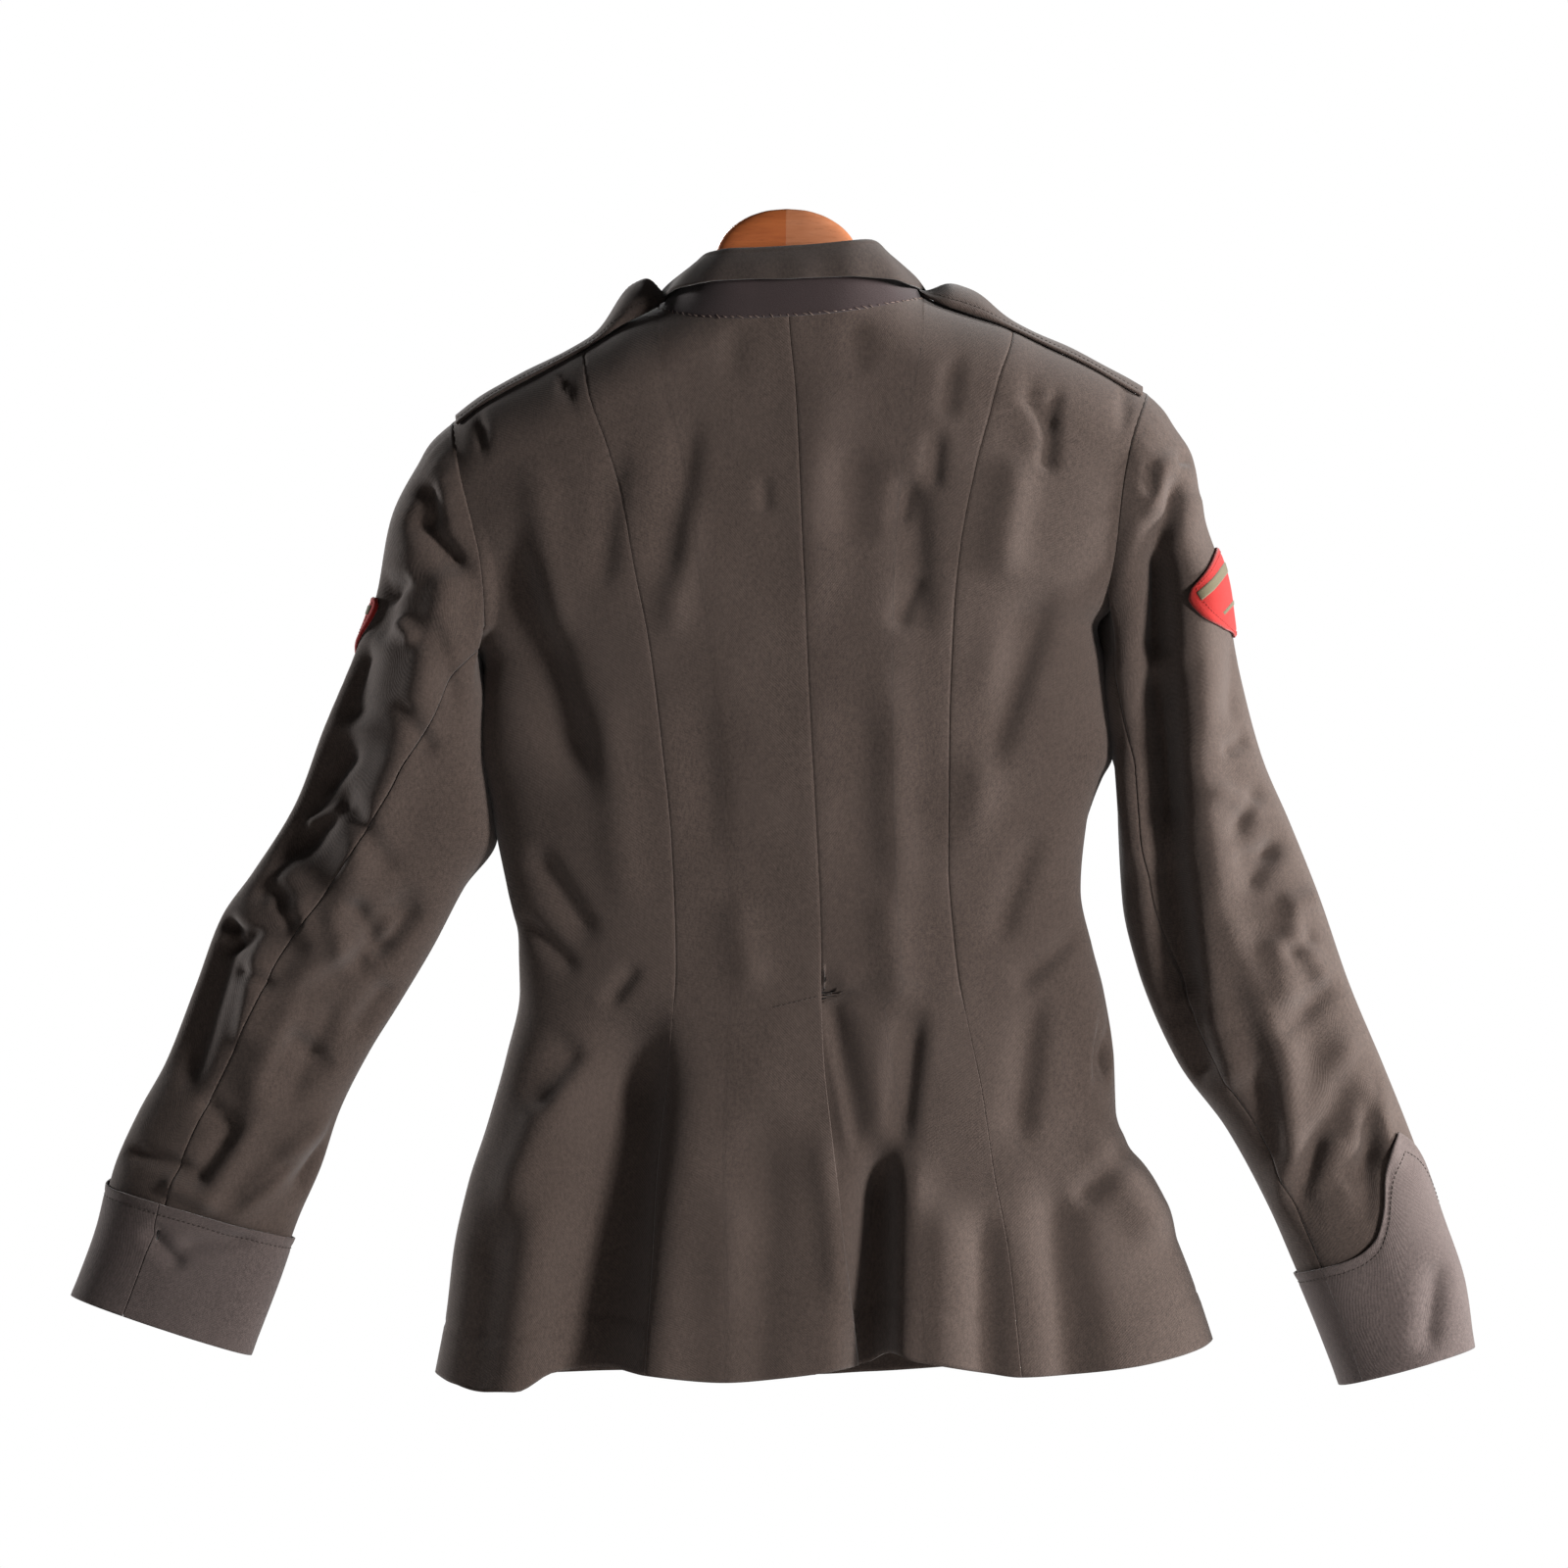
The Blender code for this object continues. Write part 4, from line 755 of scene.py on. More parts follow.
# %% Sleeves
SLEEVE = {
    "left": table("ox oz ix iz mid deep elbow", [
        (-202, -129, -182, -277, 0, 38, 144), (-220, -150, -181, -284, 0, 38, 138),
        (-240, -188, -181, -294, 0, 38, 127), (-249, -234, -182, -310, 0, 37, 112),
        (-263, -272, -181, -334, 1, 36, 102), (-281, -315, -175.5, -380, 2, 34, 84),
        (-298, -360, -196, -412, 3, 32, 80), (-324, -402, -215, -448, 4, 30, 77),
        (-343, -429, -236, -483, 5, 30, 75), (-359, -471, -254, -512, 6, 29, 73),
        (-377, -517, -272, -548, 7, 28, 70), (-394, -548, -283, -581, 8, 27, 69),
        (-409, -582, -297, -613, 9, 27, 70), (-418, -618, -310, -650, 10, 26, 67),
        (-433, -659, -327, -694, 11, 26, 64),
    ]),
    "right": table("ox oz ix iz mid deep elbow", [
        (218, -112, 188, -254, 0, 38, 144), (230, -127, 187, -262, 0, 38, 143),
        (246, -151, 188.5, -278, 0, 38, 142), (252, -184, 190, -293, 0, 38, 141),
        (264, -222, 192, -310, 0, 38, 140), (270, -257, 195.6, -328, 1, 38, 140),
        (276, -288, 200, -346, 1, 37, 139), (288, -332, 201, -378, 2, 36, 138),
        (305, -372, 203.5, -420, 3, 35, 137), (323, -417, 212, -458, 4, 34, 136),
        (341, -469, 237, -517, 5, 32, 135), (362, -519, 267, -558, 7, 31, 135),
        (382, -569, 293, -606, 9, 30, 135), (397, -611, 307, -638, 10, 30, 135),
        (411, -654, 323, -676, 11, 30, 135), (416, -690, 337, -712, 12, 30, 134),
    ]),
}
SLEEVE_FOLDS = {
    "left": table("side x0 z0 x1 z1 height wl wr", [
        (1, -216, -168, -210, -193, -8, 7, 5), (1, -224, -186, -197, -215, -9, 9, 6),
        (1, -200, -214, -184, -219, -6, 6, 5), (1, -240, -222, -248, -262, -7, 13, 9),
        (1, -262, -262, -266, -310, -10, 12, 16), (1, -266, -310, -302, -394, -11, 12, 17),
        (1, -205, -222, -212, -262, 7, 9, 12), (1, -212, -262, -228, -318, 9, 12, 16),
        (1, -228, -318, -268, -418, 9, 12, 16), (1, -226, -416, -270, -470, -7, 9, 8),
        (1, -336, -440, -364, -530, -8, 13, 9), (1, -337, -607, -274, -550, 7, 12, 7),
        (1, -318, -446, -330, -504, 6, 6, 14), (1, -262, -420, -246, -452, -7, 5, 7),
        (1, -246, -452, -222, -424, -5, 5, 5), (1, -275, -425, -262, -470, 6, 8, 7),
        (1, -310, -410, -296, -436, -5, 5, 6), (1, -340, -428, -334, -448, -4, 4, 5),
        (1, -300, -470, -250, -436, 5, 7, 9), (1, -326, -540, -296, -476, 5, 7, 12),
        (1, -300, -596, -262, -545, -6, 6, 10), (1, -254, -455, -236, -430, 4, 5, 6),
        (1, -290, -600, -262, -560, -5, 10, 12), (1, -358, -590, -336, -560, -5, 6, 6),
        (1, -376, -590, -344, -604, 4, 5, 6), (1, -285, -350, -262, -330, -4.4, 5, 6),
        (1, -296, -372, -270, -362, 4, 5, 5), (1, -245, -236, -228, -226, -4.4, 4, 5),
        (1, -236, -250, -224, -262, 4, 5, 5),
        (1, -400, -570, -358, -582, -4, 6, 5), (1, -346, -447, -322, -443, -4.6, 5, 4),
        (1, -345, -431, -318, -440, -4, 4, 4), (1, -333, -460, -310, -470, -3.4, 5, 4),
        (1, -336, -604, -300, -575, -5, 4, 9), (1, -386, -618, -366, -640, -3, 6, 6),
        (1, -366, -627, -324, -623, -2.6, 5, 5), (1, -240, -470, -262, -500, -4, 8, 6),
        (1, -300, -500, -276, -520, -4, 8, 6), (1, -232, -300, -214, -330, -3.6, 7, 6),
        (1, -262, -360, -240, -400, -4, 8, 7), (1, -352, -540, -330, -560, -3.4, 7, 6),
        (1, -213, -250, -200, -300, -4.4, 9, 6), (1, -300, -420, -280, -450, 4, 9, 9),
        (1, -310, -530, -350, -600, 4.4, 10, 10), (1, -296, -390, -262, -352, -3.6, 6, 7),
        (1, -320, -420, -300, -380, -3.4, 6, 6), (1, -272, -480, -300, -540, -3.6, 9, 7),
        (-1, -250, -250, -262, -400, -7, 12, 12), (-1, -330, -440, -370, -560, 6, 12, 12),
        (-1, -300, -420, -240, -470, -4.6, 8, 7), (-1, -280, -440, -262, -480, -4, 7, 7),
        (-1, -226, -180, -214, -230, -5, 7, 7), (-1, -350, -560, -310, -590, -4, 7, 7),
    ]),
    "right": table("side x0 z0 x1 z1 height wl wr", [
        (1, 237, -165, 223, -205, -9, 10, 11), (1, 222, -205, 219, -272, -19, 10, 13),
        (1, 219, -272, 225, -384, -19, 10, 14), (1, 225, -384, 237, -485, -16, 10, 14),
        (1, 237, -485, 252, -530, -7, 9, 12), (1, 243, -170, 234, -205, 6, 4, 12),
        (1, 234, -205, 237, -272, 8, 4, 15), (1, 237, -272, 243, -384, 8, 4, 16),
        (1, 243, -384, 256, -485, 7, 5, 16), (1, 256, -485, 270, -530, 4, 6, 14),
        (1, 296, -440, 300, -480, 6, 12, 12),
        (1, 300, -480, 305, -610, 7, 13, 10), (1, 337, -520, 308, -605, -8, 9, 11),
        (1, 250, -215, 252, -330, 6, 9, 14), (1, 236, -152, 247, -152, -6, 4, 4),
        (1, 262, -330, 278, -322, -4.6, 4, 6), (1, 256, -352, 286, -366, 4.4, 6, 6),
        (1, 270, -395, 296, -388, -4.6, 5, 6), (1, 330, -560, 316, -600, 5, 6, 8),
        (1, 300, -430, 326, -470, 4.6, 6, 8), (1, 352, -530, 366, -580, 4.4, 6, 7),
        (1, 216, -158, 221, -175, -4, 5, 4), (1, 320, -417, 300, -424, 4, 8, 8),
        (1, 355, -526, 350, -610, -3.6, 7, 5), (1, 252, -340, 262, -420, 5, 8, 12),
        (1, 262, -420, 300, -520, 4.4, 9, 9), (1, 285, -520, 300, -580, -4, 9, 6),
        (1, 274, -260, 266, -310, -3.6, 8, 6), (1, 300, -380, 276, -412, -4.4, 8, 6),
        (1, 330, -470, 296, -500, -4.4, 8, 6), (1, 360, -560, 340, -590, -3.6, 8, 6),
        (1, 203, -330, 212, -400, 4, 8, 8), (1, 228, -150, 222, -190, 4, 8, 8),
        (1, 394, -638, 387, -690, -4.4, 9, 7), (1, 286, -350, 268, -380, -3.6, 6, 6),
        (1, 318, -440, 300, -452, -3.4, 6, 5), (1, 340, -500, 322, -560, 3.6, 10, 9),
        (-1, 240, -240, 256, -400, -8, 12, 12), (-1, 320, -450, 350, -570, 6, 12, 12),
        (-1, 310, -420, 240, -480, -4.6, 8, 7), (-1, 290, -450, 262, -500, -4, 7, 7),
        (-1, 236, -170, 228, -220, -5, 7, 7), (-1, 360, -560, 320, -590, -4, 7, 7),
    ]),
}
FRONT_SEAM = np.radians(-144)


def sleeve_way(hand):
    """Distance of each ring down the middle of the sleeve."""
    rows = SLEEVE[hand]
    x, z = (rows["ox"] + rows["ix"]) / 2, (rows["oz"] + rows["iz"]) / 2
    return np.concatenate([[0], np.cumsum(np.hypot(np.diff(x), np.diff(z)))])


def tube(hand, turn, way):
    """Plain sleeve: middle + half width cos t across and depth sin t along Y."""
    ways = sleeve_way(hand)
    ox, oz, ix, iz, mid, deep = (
        through(ways, SLEEVE[hand][k], way) for k in ("ox", "oz", "ix", "iz", "mid", "deep"))
    c, s = np.cos(turn), np.sin(turn)
    return np.stack([(ox + ix) / 2 + (ox - ix) / 2 * c, mid - deep * np.sign(s) * np.abs(s) ** 0.9,
                     (oz + iz) / 2 + (oz - iz) / 2 * c], -1)


def armhole_ring(hand, turn):
    """Armhole seam on the body, at a turn from the shoulder (0) down the back to the armpit (pi)."""
    turn = np.where(turn > np.pi, turn - 2 * np.pi, turn)
    hole = ARMHOLE[hand]
    z = hole["z"][0] + (hole["z"][-1] - hole["z"][0]) * (1 - np.cos(turn)) / 2
    a = side_angle(hand, np.maximum(z, hole["z"][-1] + 1e-6))
    x = level("centre", z) + spans(z, SIGN[hand] * np.ones_like(z)) * np.sin(a)
    _, g = place(x, z, 1)
    return body_base(a, g * np.where(turn < 0, -1, 1))


def elbow_at(hand, way):
    return np.radians(through(sleeve_way(hand), SLEEVE[hand]["elbow"], way))


def sleeve_base(hand, turn, way):
    """Sleeve that leaves the armhole seam and becomes the plain tube over the first 70 mm."""
    blend = (1 - ease(way / 70))[..., None]
    start = armhole_ring(hand, turn) - tube(hand, turn, np.zeros_like(way))
    return tube(hand, turn, way) + start * blend


def sleeve_dressed(hand, turn, way, relief=0.0):
    """Sleeve with its folds, as a grid whose columns run round it, and the normal of each point."""
    base = sleeve_base(hand, turn, way)
    middle = tube(hand, turn * 0, way) * 0.5 + tube(hand, turn * 0 + np.pi, way) * 0.5
    n = outward(base, base - middle)
    s = np.sin(turn)
    side = np.where(s > 0, 1, -1)
    calm = ease(np.abs(s) / 0.4) * ease(way / 25)
    x, z = base[..., 0], base[..., 2]
    more = folds(SLEEVE_FOLDS[hand], side, x, z, -900) * calm
    more = more + waves(x * 1.3, z, 1) * ease(way / 30) * np.abs(s)
    grid = base + n * (more + relief)[..., None]
    return grid, outward(grid, base - middle)


def sleeve_seams(hand, turn, way):
    """Relief of the elbow seam and of the cap where the sleeve is eased into the armhole."""
    size = 46.0  # mean radius, which turns an angle into millimetres
    total = np.zeros(np.broadcast(turn, way).shape)
    for at in (elbow_at(hand, way), FRONT_SEAM, 2 * np.pi + FRONT_SEAM):
        d = np.abs(turn - at) * size
        pucker = 1 + 0.5 * np.sin(way * 0.31) * np.sin(way * 0.093 + 2)
        total = total + 0.14 * pucker * np.exp(-(((d - 6) / 5) ** 2)) - 0.4 * np.exp(-((d / 0.8) ** 2))
    ease_in = 1.3 * ease(np.cos(turn) * 1.4) * np.exp(-(((way - 10) / 8) ** 2)) * ease(way / 4)
    return total * ease(way / 14) + ease_in * (1 + 0.25 * np.sin(turn * 31))


for hand in SIGN:
    length = sleeve_way(hand)[-1]
    way = np.concatenate([np.linspace(0, 40, spread(22))[:-1], np.linspace(40, length, spread(200))])[:, None]
    for name, count in (("top_sleeve_", spread(84)), ("under_sleeve_", spread(56))):
        share = shares(count)[None, :]
        elbow = elbow_at(hand, way)
        first, last = (FRONT_SEAM, elbow) if name[0] == "t" else (elbow, 2 * np.pi + FRONT_SEAM)
        turn = first + (last - first) * share
        turn = turn + np.where(share == 0, 0.003, 0) - np.where(share == 1, 0.003, 0)
        ways = np.broadcast_to(way, turn.shape)
        grid, n = sleeve_dressed(hand, turn, ways, sleeve_seams(hand, turn, ways))
        sew(name + hand, grid, n, SERGE, CLOTH, name + hand)

# %% [markdown]
# ## Cuffs
# A cuff is a separate band on the outside of the sleeve's end, cut to a point on its upper piece. Its
# turned edge stands a little proud, and a row of stitches holds it just below that edge.

# %% Cuffs
CUFF = {"height": 72.0, "rise": 62.0, "point": {"left": -70.0, "right": 38.0}}
CUFF_RISE = table("away share", [(0, 1), (8, 0.88), (16, 0.68), (25, 0.36), (36, 0.12), (50, 0.02), (60, 0)])


def cuff_top(hand, turn):
    """Height of the cuff at this turn: even, but rising to its point in a hollow curve."""
    ways = sleeve_way(hand)
    middle = np.radians(CUFF["point"][hand])
    steps = middle + (turn - middle)[None, :] * np.linspace(0, 1, 41)[:, None]
    ring = tube(hand, steps, np.full_like(steps, ways[-1] - 40))
    away = np.linalg.norm(np.diff(ring, axis=0), axis=-1).sum(0)
    share = through(CUFF_RISE["away"], CUFF_RISE["share"], np.minimum(away, 60))
    return CUFF["height"] + CUFF["rise"] * share


CUFF_EDGE = {}
for hand in SIGN:
    length = sleeve_way(hand)[-1]
    middle = np.radians(CUFF["point"][hand])
    end = elbow_at(hand, length - 40)
    for name, first, last, count in (("cuff_top_", FRONT_SEAM, end, spread(90)),
                                     ("cuff_under_", end, 2 * np.pi + FRONT_SEAM, spread(60))):
        share = shares(count, (middle - first) / (last - first) if name == "cuff_top_" else None)
        down = np.concatenate([[0, 0.012, 0.03], np.linspace(0.05, 1, spread(52))])[:, None]
        turn = np.broadcast_to(first + (last - first) * share, (len(down), len(share)))
        turn = turn + np.where(share == 0, 0.004, 0) - np.where(share == 1, 0.004, 0)
        way = length - cuff_top(hand, first + (last - first) * share) * (1 - down) + 1.0 * down
        grid, n = sleeve_dressed(hand, turn, way)
        depth = (way - way[:1])
        lift = 1.9 + 0.5 * np.exp(-((depth / 4) ** 2)) - 0.45 * np.exp(-(((depth - 6) / 1.5) ** 2))
        lift = lift + 0.3 * np.exp(-(((length - way) / 6) ** 2))
        grid = grid + n * lift[..., None]
        sew(name + hand, grid, outward(grid, n), 1.3, CUFF_CLOTH, name + hand)
        at = np.abs(depth[:, 0] - 6).argmin()
        CUFF_EDGE[name + hand] = grid[at] + n[at] * 0.1

# %% [markdown]
# ## Patches
# A felt patch is laid round the outside of each sleeve. Its ground is red and its outline is a wide
# shield that is symmetric about its own middle. The bars on it are plain and generic: two olive
# angles, a wide one and a narrow one. The edge is turned under and stitched all round.

# %% Patches
PATCH = table("turn half_turn way high", [(-52, 65, 95.5, 20.5), (2, 65, 95.5, 20.5)])
PATCH_SHAPE = table("down wide", [(-1, 0.94), (-0.84, 1.0), (-0.33, 0.94), (0.49, 0.62), (1, 0.16)])
# place, half thickness, reach and rise of each bar, in shares of the patch's half height and half width
BARS = [(-0.54, 0.115, 0.915, 0.16), (0.24, 0.05, 0.8, 0.14)]


def patch_grid(hand, u, v, lift):
    """Patch at (u, v), both from -1 to 1: v runs down it, and u across it to its outline on each side."""
    i = list(SIGN).index(hand)
    wide = through(PATCH_SHAPE["down"], PATCH_SHAPE["wide"], v)
    turn = np.radians(PATCH["turn"][i] + PATCH["half_turn"][i] * u * wide)
    grid, n = sleeve_dressed(hand, turn, PATCH["way"][i] + PATCH["high"][i] * v)
    return grid + n * (1.3 + lift)[..., None], n


for hand in SIGN:
    u, v = np.meshgrid(np.linspace(-1, 1, spread(64)), np.linspace(-1, 1, spread(44)))
    edge = np.minimum((1 - np.abs(u)) * 40, (1 - np.abs(v)) * 26)
    lift = FELT * ease(edge / 2.2 + 0.35) - 0.4 * np.exp(-(((edge - 3.2) / 1.0) ** 2))
    grid, n = patch_grid(hand, u, v, lift)
    sew("patch_" + hand, grid, n, 1.2, RED_FELT, "patch_" + hand)
    for k, (high, thick, reach, rise) in enumerate(BARS):
        q, r = np.meshgrid(np.linspace(-1, 1, 12), np.linspace(-1, 1, 90))
        across = np.minimum(np.abs(r), 0.995) * np.sign(r)
        body, body_n = patch_grid(hand, reach * across, high + thick * q - rise * np.abs(r),
                                  FELT + 0.5 * ease((1 - np.abs(q)) * 4) * ease((1 - np.abs(r)) * 20))
        bar = shell(f"bar_{k + 1}_{hand}", body, body_n, 0.7, OLIVE_BAR, cloth_uv(body))

# %% [markdown]
# ## Collar
# The undercollar is a strip of dark felt that stands up from the neck seam; its colour is made darker still
# as painted shade. The collar is cut from the wool, in a darker copy whose darkening is painted shade.
# It comes up inside the neck, turns over the felt in a soft roll and falls outside it, short at the back
# and longer over the fronts.

# %% Collar
COLLAR = table("way nx fx fy fz ex ey ez", [
    (0.0, 0, 0, 4, 41, 0, -63, -46.5), (0.2, 30, 0, 4.5, 41, 34, -61, -46),
    (0.4, 58, -10, 5, 38, 64, -50, -48), (0.55, 74, -17, 5, 29, 76, -29, -51.5),
    (0.68, 80.5, -12, 4, 18, 80, 3, -56), (0.82, 72, -8, 6, 13, 90, 36, -78),
    (1.0, 60, -2, 8, 6, 84, 52, -122),
])
COLLAR_X, COLLAR_TILT = 2.5, 0.025
ROLL = 3.6
SPACE = 1.1


def body_normal(a, g):
    """Direction out of the plain body: across the steps to its neighbours at each side and up and down."""
    across = body_base(a + 2e-3, g) - body_base(a - 2e-3, g)
    down = body_base(a, g + 0.4) - body_base(a, g - 0.4)
    return -unit(np.cross(across, down))


def on_body(x, z, side, lift=0.0):
    """Point of the body seen at (x, z), moved out by lift, with its folds."""
    a, g = place(x, z, side)
    here = body_base(a, g)
    n = body_normal(a, g)
    more = folds(BODY_FOLDS, side, here[..., 0], here[..., 2]) + waves(here[..., 0], here[..., 2], side)
    more = more * (0.15 + 0.85 * ease((ridge(here[..., 0]) - here[..., 2]) / 10))
    return here + n * (more + lift)[..., None], n


def neck_line(s):
    """The neck seam at s, from -1 at the left end to 1 at the right: on the backs, then down the opening."""
    x = np.sign(s) * through(COLLAR["way"], COLLAR["nx"], np.abs(s)) + COLLAR_X
    x = np.clip(x, NECK["x"][0] + 0.2, NECK["x"][-1] - 0.2)
    front = np.abs(s) > 0.68
    z = np.where(front, np.where(s < 0, opening_z("left", x), opening_z("right", x)),
                 through(NECK["x"], NECK["z"], x))
    return np.where(front[:, None], on_body(x, z, -1)[0], on_body(x, z, 1)[0])


def collar_line(kind, s):
    """The fold or the edge of the fall at s. Past the neck points the edge lies over the fronts."""
    x, y, z = (through(COLLAR["way"], COLLAR[kind + k], np.abs(s)) for k in "xyz")
    if kind == "f":
        return neck_line(s) + np.stack([np.sign(s) * x, y, z], -1)
    x = np.sign(s) * x + COLLAR_X
    points = np.stack([x, y, z + COLLAR_TILT * (x - COLLAR_X)], -1)
    points[:, 2] = np.minimum(points[:, 2], np.where(np.abs(s) > 0.6, ridge(x) - 0.3, 0))
    laid, _ = on_body(x, points[:, 2], -1, np.full_like(x, 5.5))
    mix = ease((np.abs(s) - 0.5) / 0.16)[:, None]
    return points * (1 - mix) + laid * mix


ways = np.linspace(-1, 1, spread(240))


def smoothed(line, times=6):
    """A line with its small kinks evened out, its ends kept."""
    for _ in range(times):
        line = np.concatenate([line[:1], (line[:-2] + 2 * line[1:-1] + line[2:]) / 4, line[-1:]])
    return line


neck = smoothed(neck_line(ways))
fold, fall = (smoothed(collar_line(kind, ways)) for kind in "fe")
along = np.gradient(neck, axis=0)
out = unit(np.stack([along[:, 1], -along[:, 0], 0 * ways], -1))
rise = np.linspace(0, 1, spread(18))[:, None, None]
base = neck - UP * 1.8 + out * 1.4
stand = base + (fold - UP * ROLL - base) * rise + out * 0.5 * np.sin(np.pi * rise)
stand_n = outward(stand, np.broadcast_to(out, stand.shape))
sew("undercollar", stand, stand_n, FELT, UNDER_FELT_SHADED, "undercollar")

n, climb = stand_n[-1], unit(stand[-1] - stand[-2])
behind = FELT + SPACE + 1.8
legs = [stand[0] + (stand[-1] - stand[0]) * k - stand_n[-1] * behind + climb * 1.8 * (1 - k)
        for k in np.linspace(0, 1, spread(14))[:-1]]
for turn in np.linspace(np.pi, 0, spread(14)):
    legs.append(stand[-1] - n * (behind - ROLL) + n * ROLL * np.cos(turn) + climb * ROLL * np.sin(turn))
last = legs[-1]
for share in np.linspace(0, 1, spread(20))[1:]:
    sag = 1.2 * np.sin(np.pi * share) + 0.4 * np.sin(ways * 37)[:, None] * share
    legs.append(last + (fall - last) * share + n * sag)
shape = np.stack(legs)
shape_n = outward(shape, np.broadcast_to(out, shape.shape) * np.linspace(-1, 1, len(legs))[:, None, None])
sew("collar", shape, shape_n, 1.6, COLLAR_SHADED_CLOTH, "collar")

# %% [markdown]
# ## Lapels
# Each lapel is the top of a front turned outwards, so its facing shows. It lies flat on the front and
# narrows to where the front begins to close.

# %% Lapels
LAPEL = {"left": (-136.0, -255.0), "right": (-132.0, -316.0)}
for hand, sign in SIGN.items():
    s, r = np.meshgrid(np.linspace(0, 1, spread(70)), np.linspace(0, 1, spread(36)), indexing="ij")
    high, low = LAPEL[hand]
    zv = high + (low - high) * s
    wide = 58 * (1 - s) ** 0.75 + 2
    x = opening_x(hand, zv) + sign * (1 + wide * r)
    z = zv + wide * r * 0.18
    lift = 2.0 + 1.3 * np.exp(-((r * wide / 6) ** 2)) + 0.25 * np.exp(-(((1 - r) * wide / 3) ** 2))
    grid, n = on_body(x, z, -1, lift)
    sew("lapel_" + hand, grid, n, 1.4, CLOTH, "lapel_" + hand)

# %% [markdown]
# ## Shoulder straps
# A strap is sewn into the top of the sleeve seam and runs to the collar along the shoulder. Its round
# free end has come loose and stands up, as it does on both sides in the photo.

# %% Straps
STRAP = {
    "left": {"from": -199.0, "to": -67.0, "peak": -89.0, "outer": 19.0, "inner": 14.0, "lift": 19.5},
    "right": {"from": 214.0, "to": 78.0, "peak": 106.0, "outer": 21.0, "inner": 19.0, "lift": 13.5},
}


def strap_grid(hand, s, w, lift):
    """Strap at share s along it and w across it from -1 to 1, over the shoulder ridge."""
    row = STRAP[hand]
    x = row["from"] + (row["to"] - row["from"]) * s
    half = (21 - 4 * s) * np.sqrt(np.clip(1 - (np.maximum(s - 0.84, 0) / 0.17) ** 2, 0.004, 1))
    a, _ = place(x, ridge(x) - 2, 1)
    g = half * w * 1.15
    g = np.where(np.abs(g) < 0.01, 0.01, g)
    here, n = body_base(a, g), body_normal(a, g)
    away = (x - row["peak"]) * SIGN[hand]
    away = np.abs(away / np.where(away > 0, row["outer"], row["inner"]))
    hump = row["lift"] * np.exp(-(away**3)) * ((1 - w) / 2) ** 0.6
    forward = np.stack([0 * hump, -0.7 * hump, 1.2 * hump], -1)
    return here + n * (2.3 + lift)[..., None] + forward, n


STRAP_EDGE = {}
for hand in SIGN:
    end = 0.84 + 0.155 * np.sin(np.linspace(0.1, np.pi / 2, spread(24)))
    s = np.concatenate([np.linspace(0, 0.84, spread(80)), end])
    s, w = np.meshgrid(s, np.linspace(-1, 1, spread(36)), indexing="ij")
    edge = (1 - np.abs(w)) * 19
    lift = 0.25 * ease(edge / 2) - 0.35 * np.exp(-((edge - 4) ** 2)) + 0.25 * np.sin(s * 23) * (1 - w * w)
    grid, _ = strap_grid(hand, s, w, lift)
    sew("strap_" + hand, grid, outward(grid, np.broadcast_to(UP, grid.shape)), 1.7, CLOTH, "strap_" + hand)
    ring_s = np.concatenate([np.linspace(0.01, 0.86, 140), 0.86 + 0.11 * np.sin(np.linspace(0, np.pi, 60)),
                             np.linspace(0.86, 0.01, 140)])
    ring_w = np.concatenate([np.full(140, -0.8), -0.8 * np.cos(np.linspace(0, np.pi, 60)), np.full(140, 0.8)])
    path, normal = strap_grid(hand, ring_s[None], ring_w[None], 0.0 * ring_s[None])
    STRAP_EDGE[hand] = (path[0], normal[0])

# %% [markdown]
# ## Stitches
# Stitches are short rounded threads that dip into the cloth at both ends. Each row follows a line that
# a machine or a hand would sew, evenly but not perfectly so.

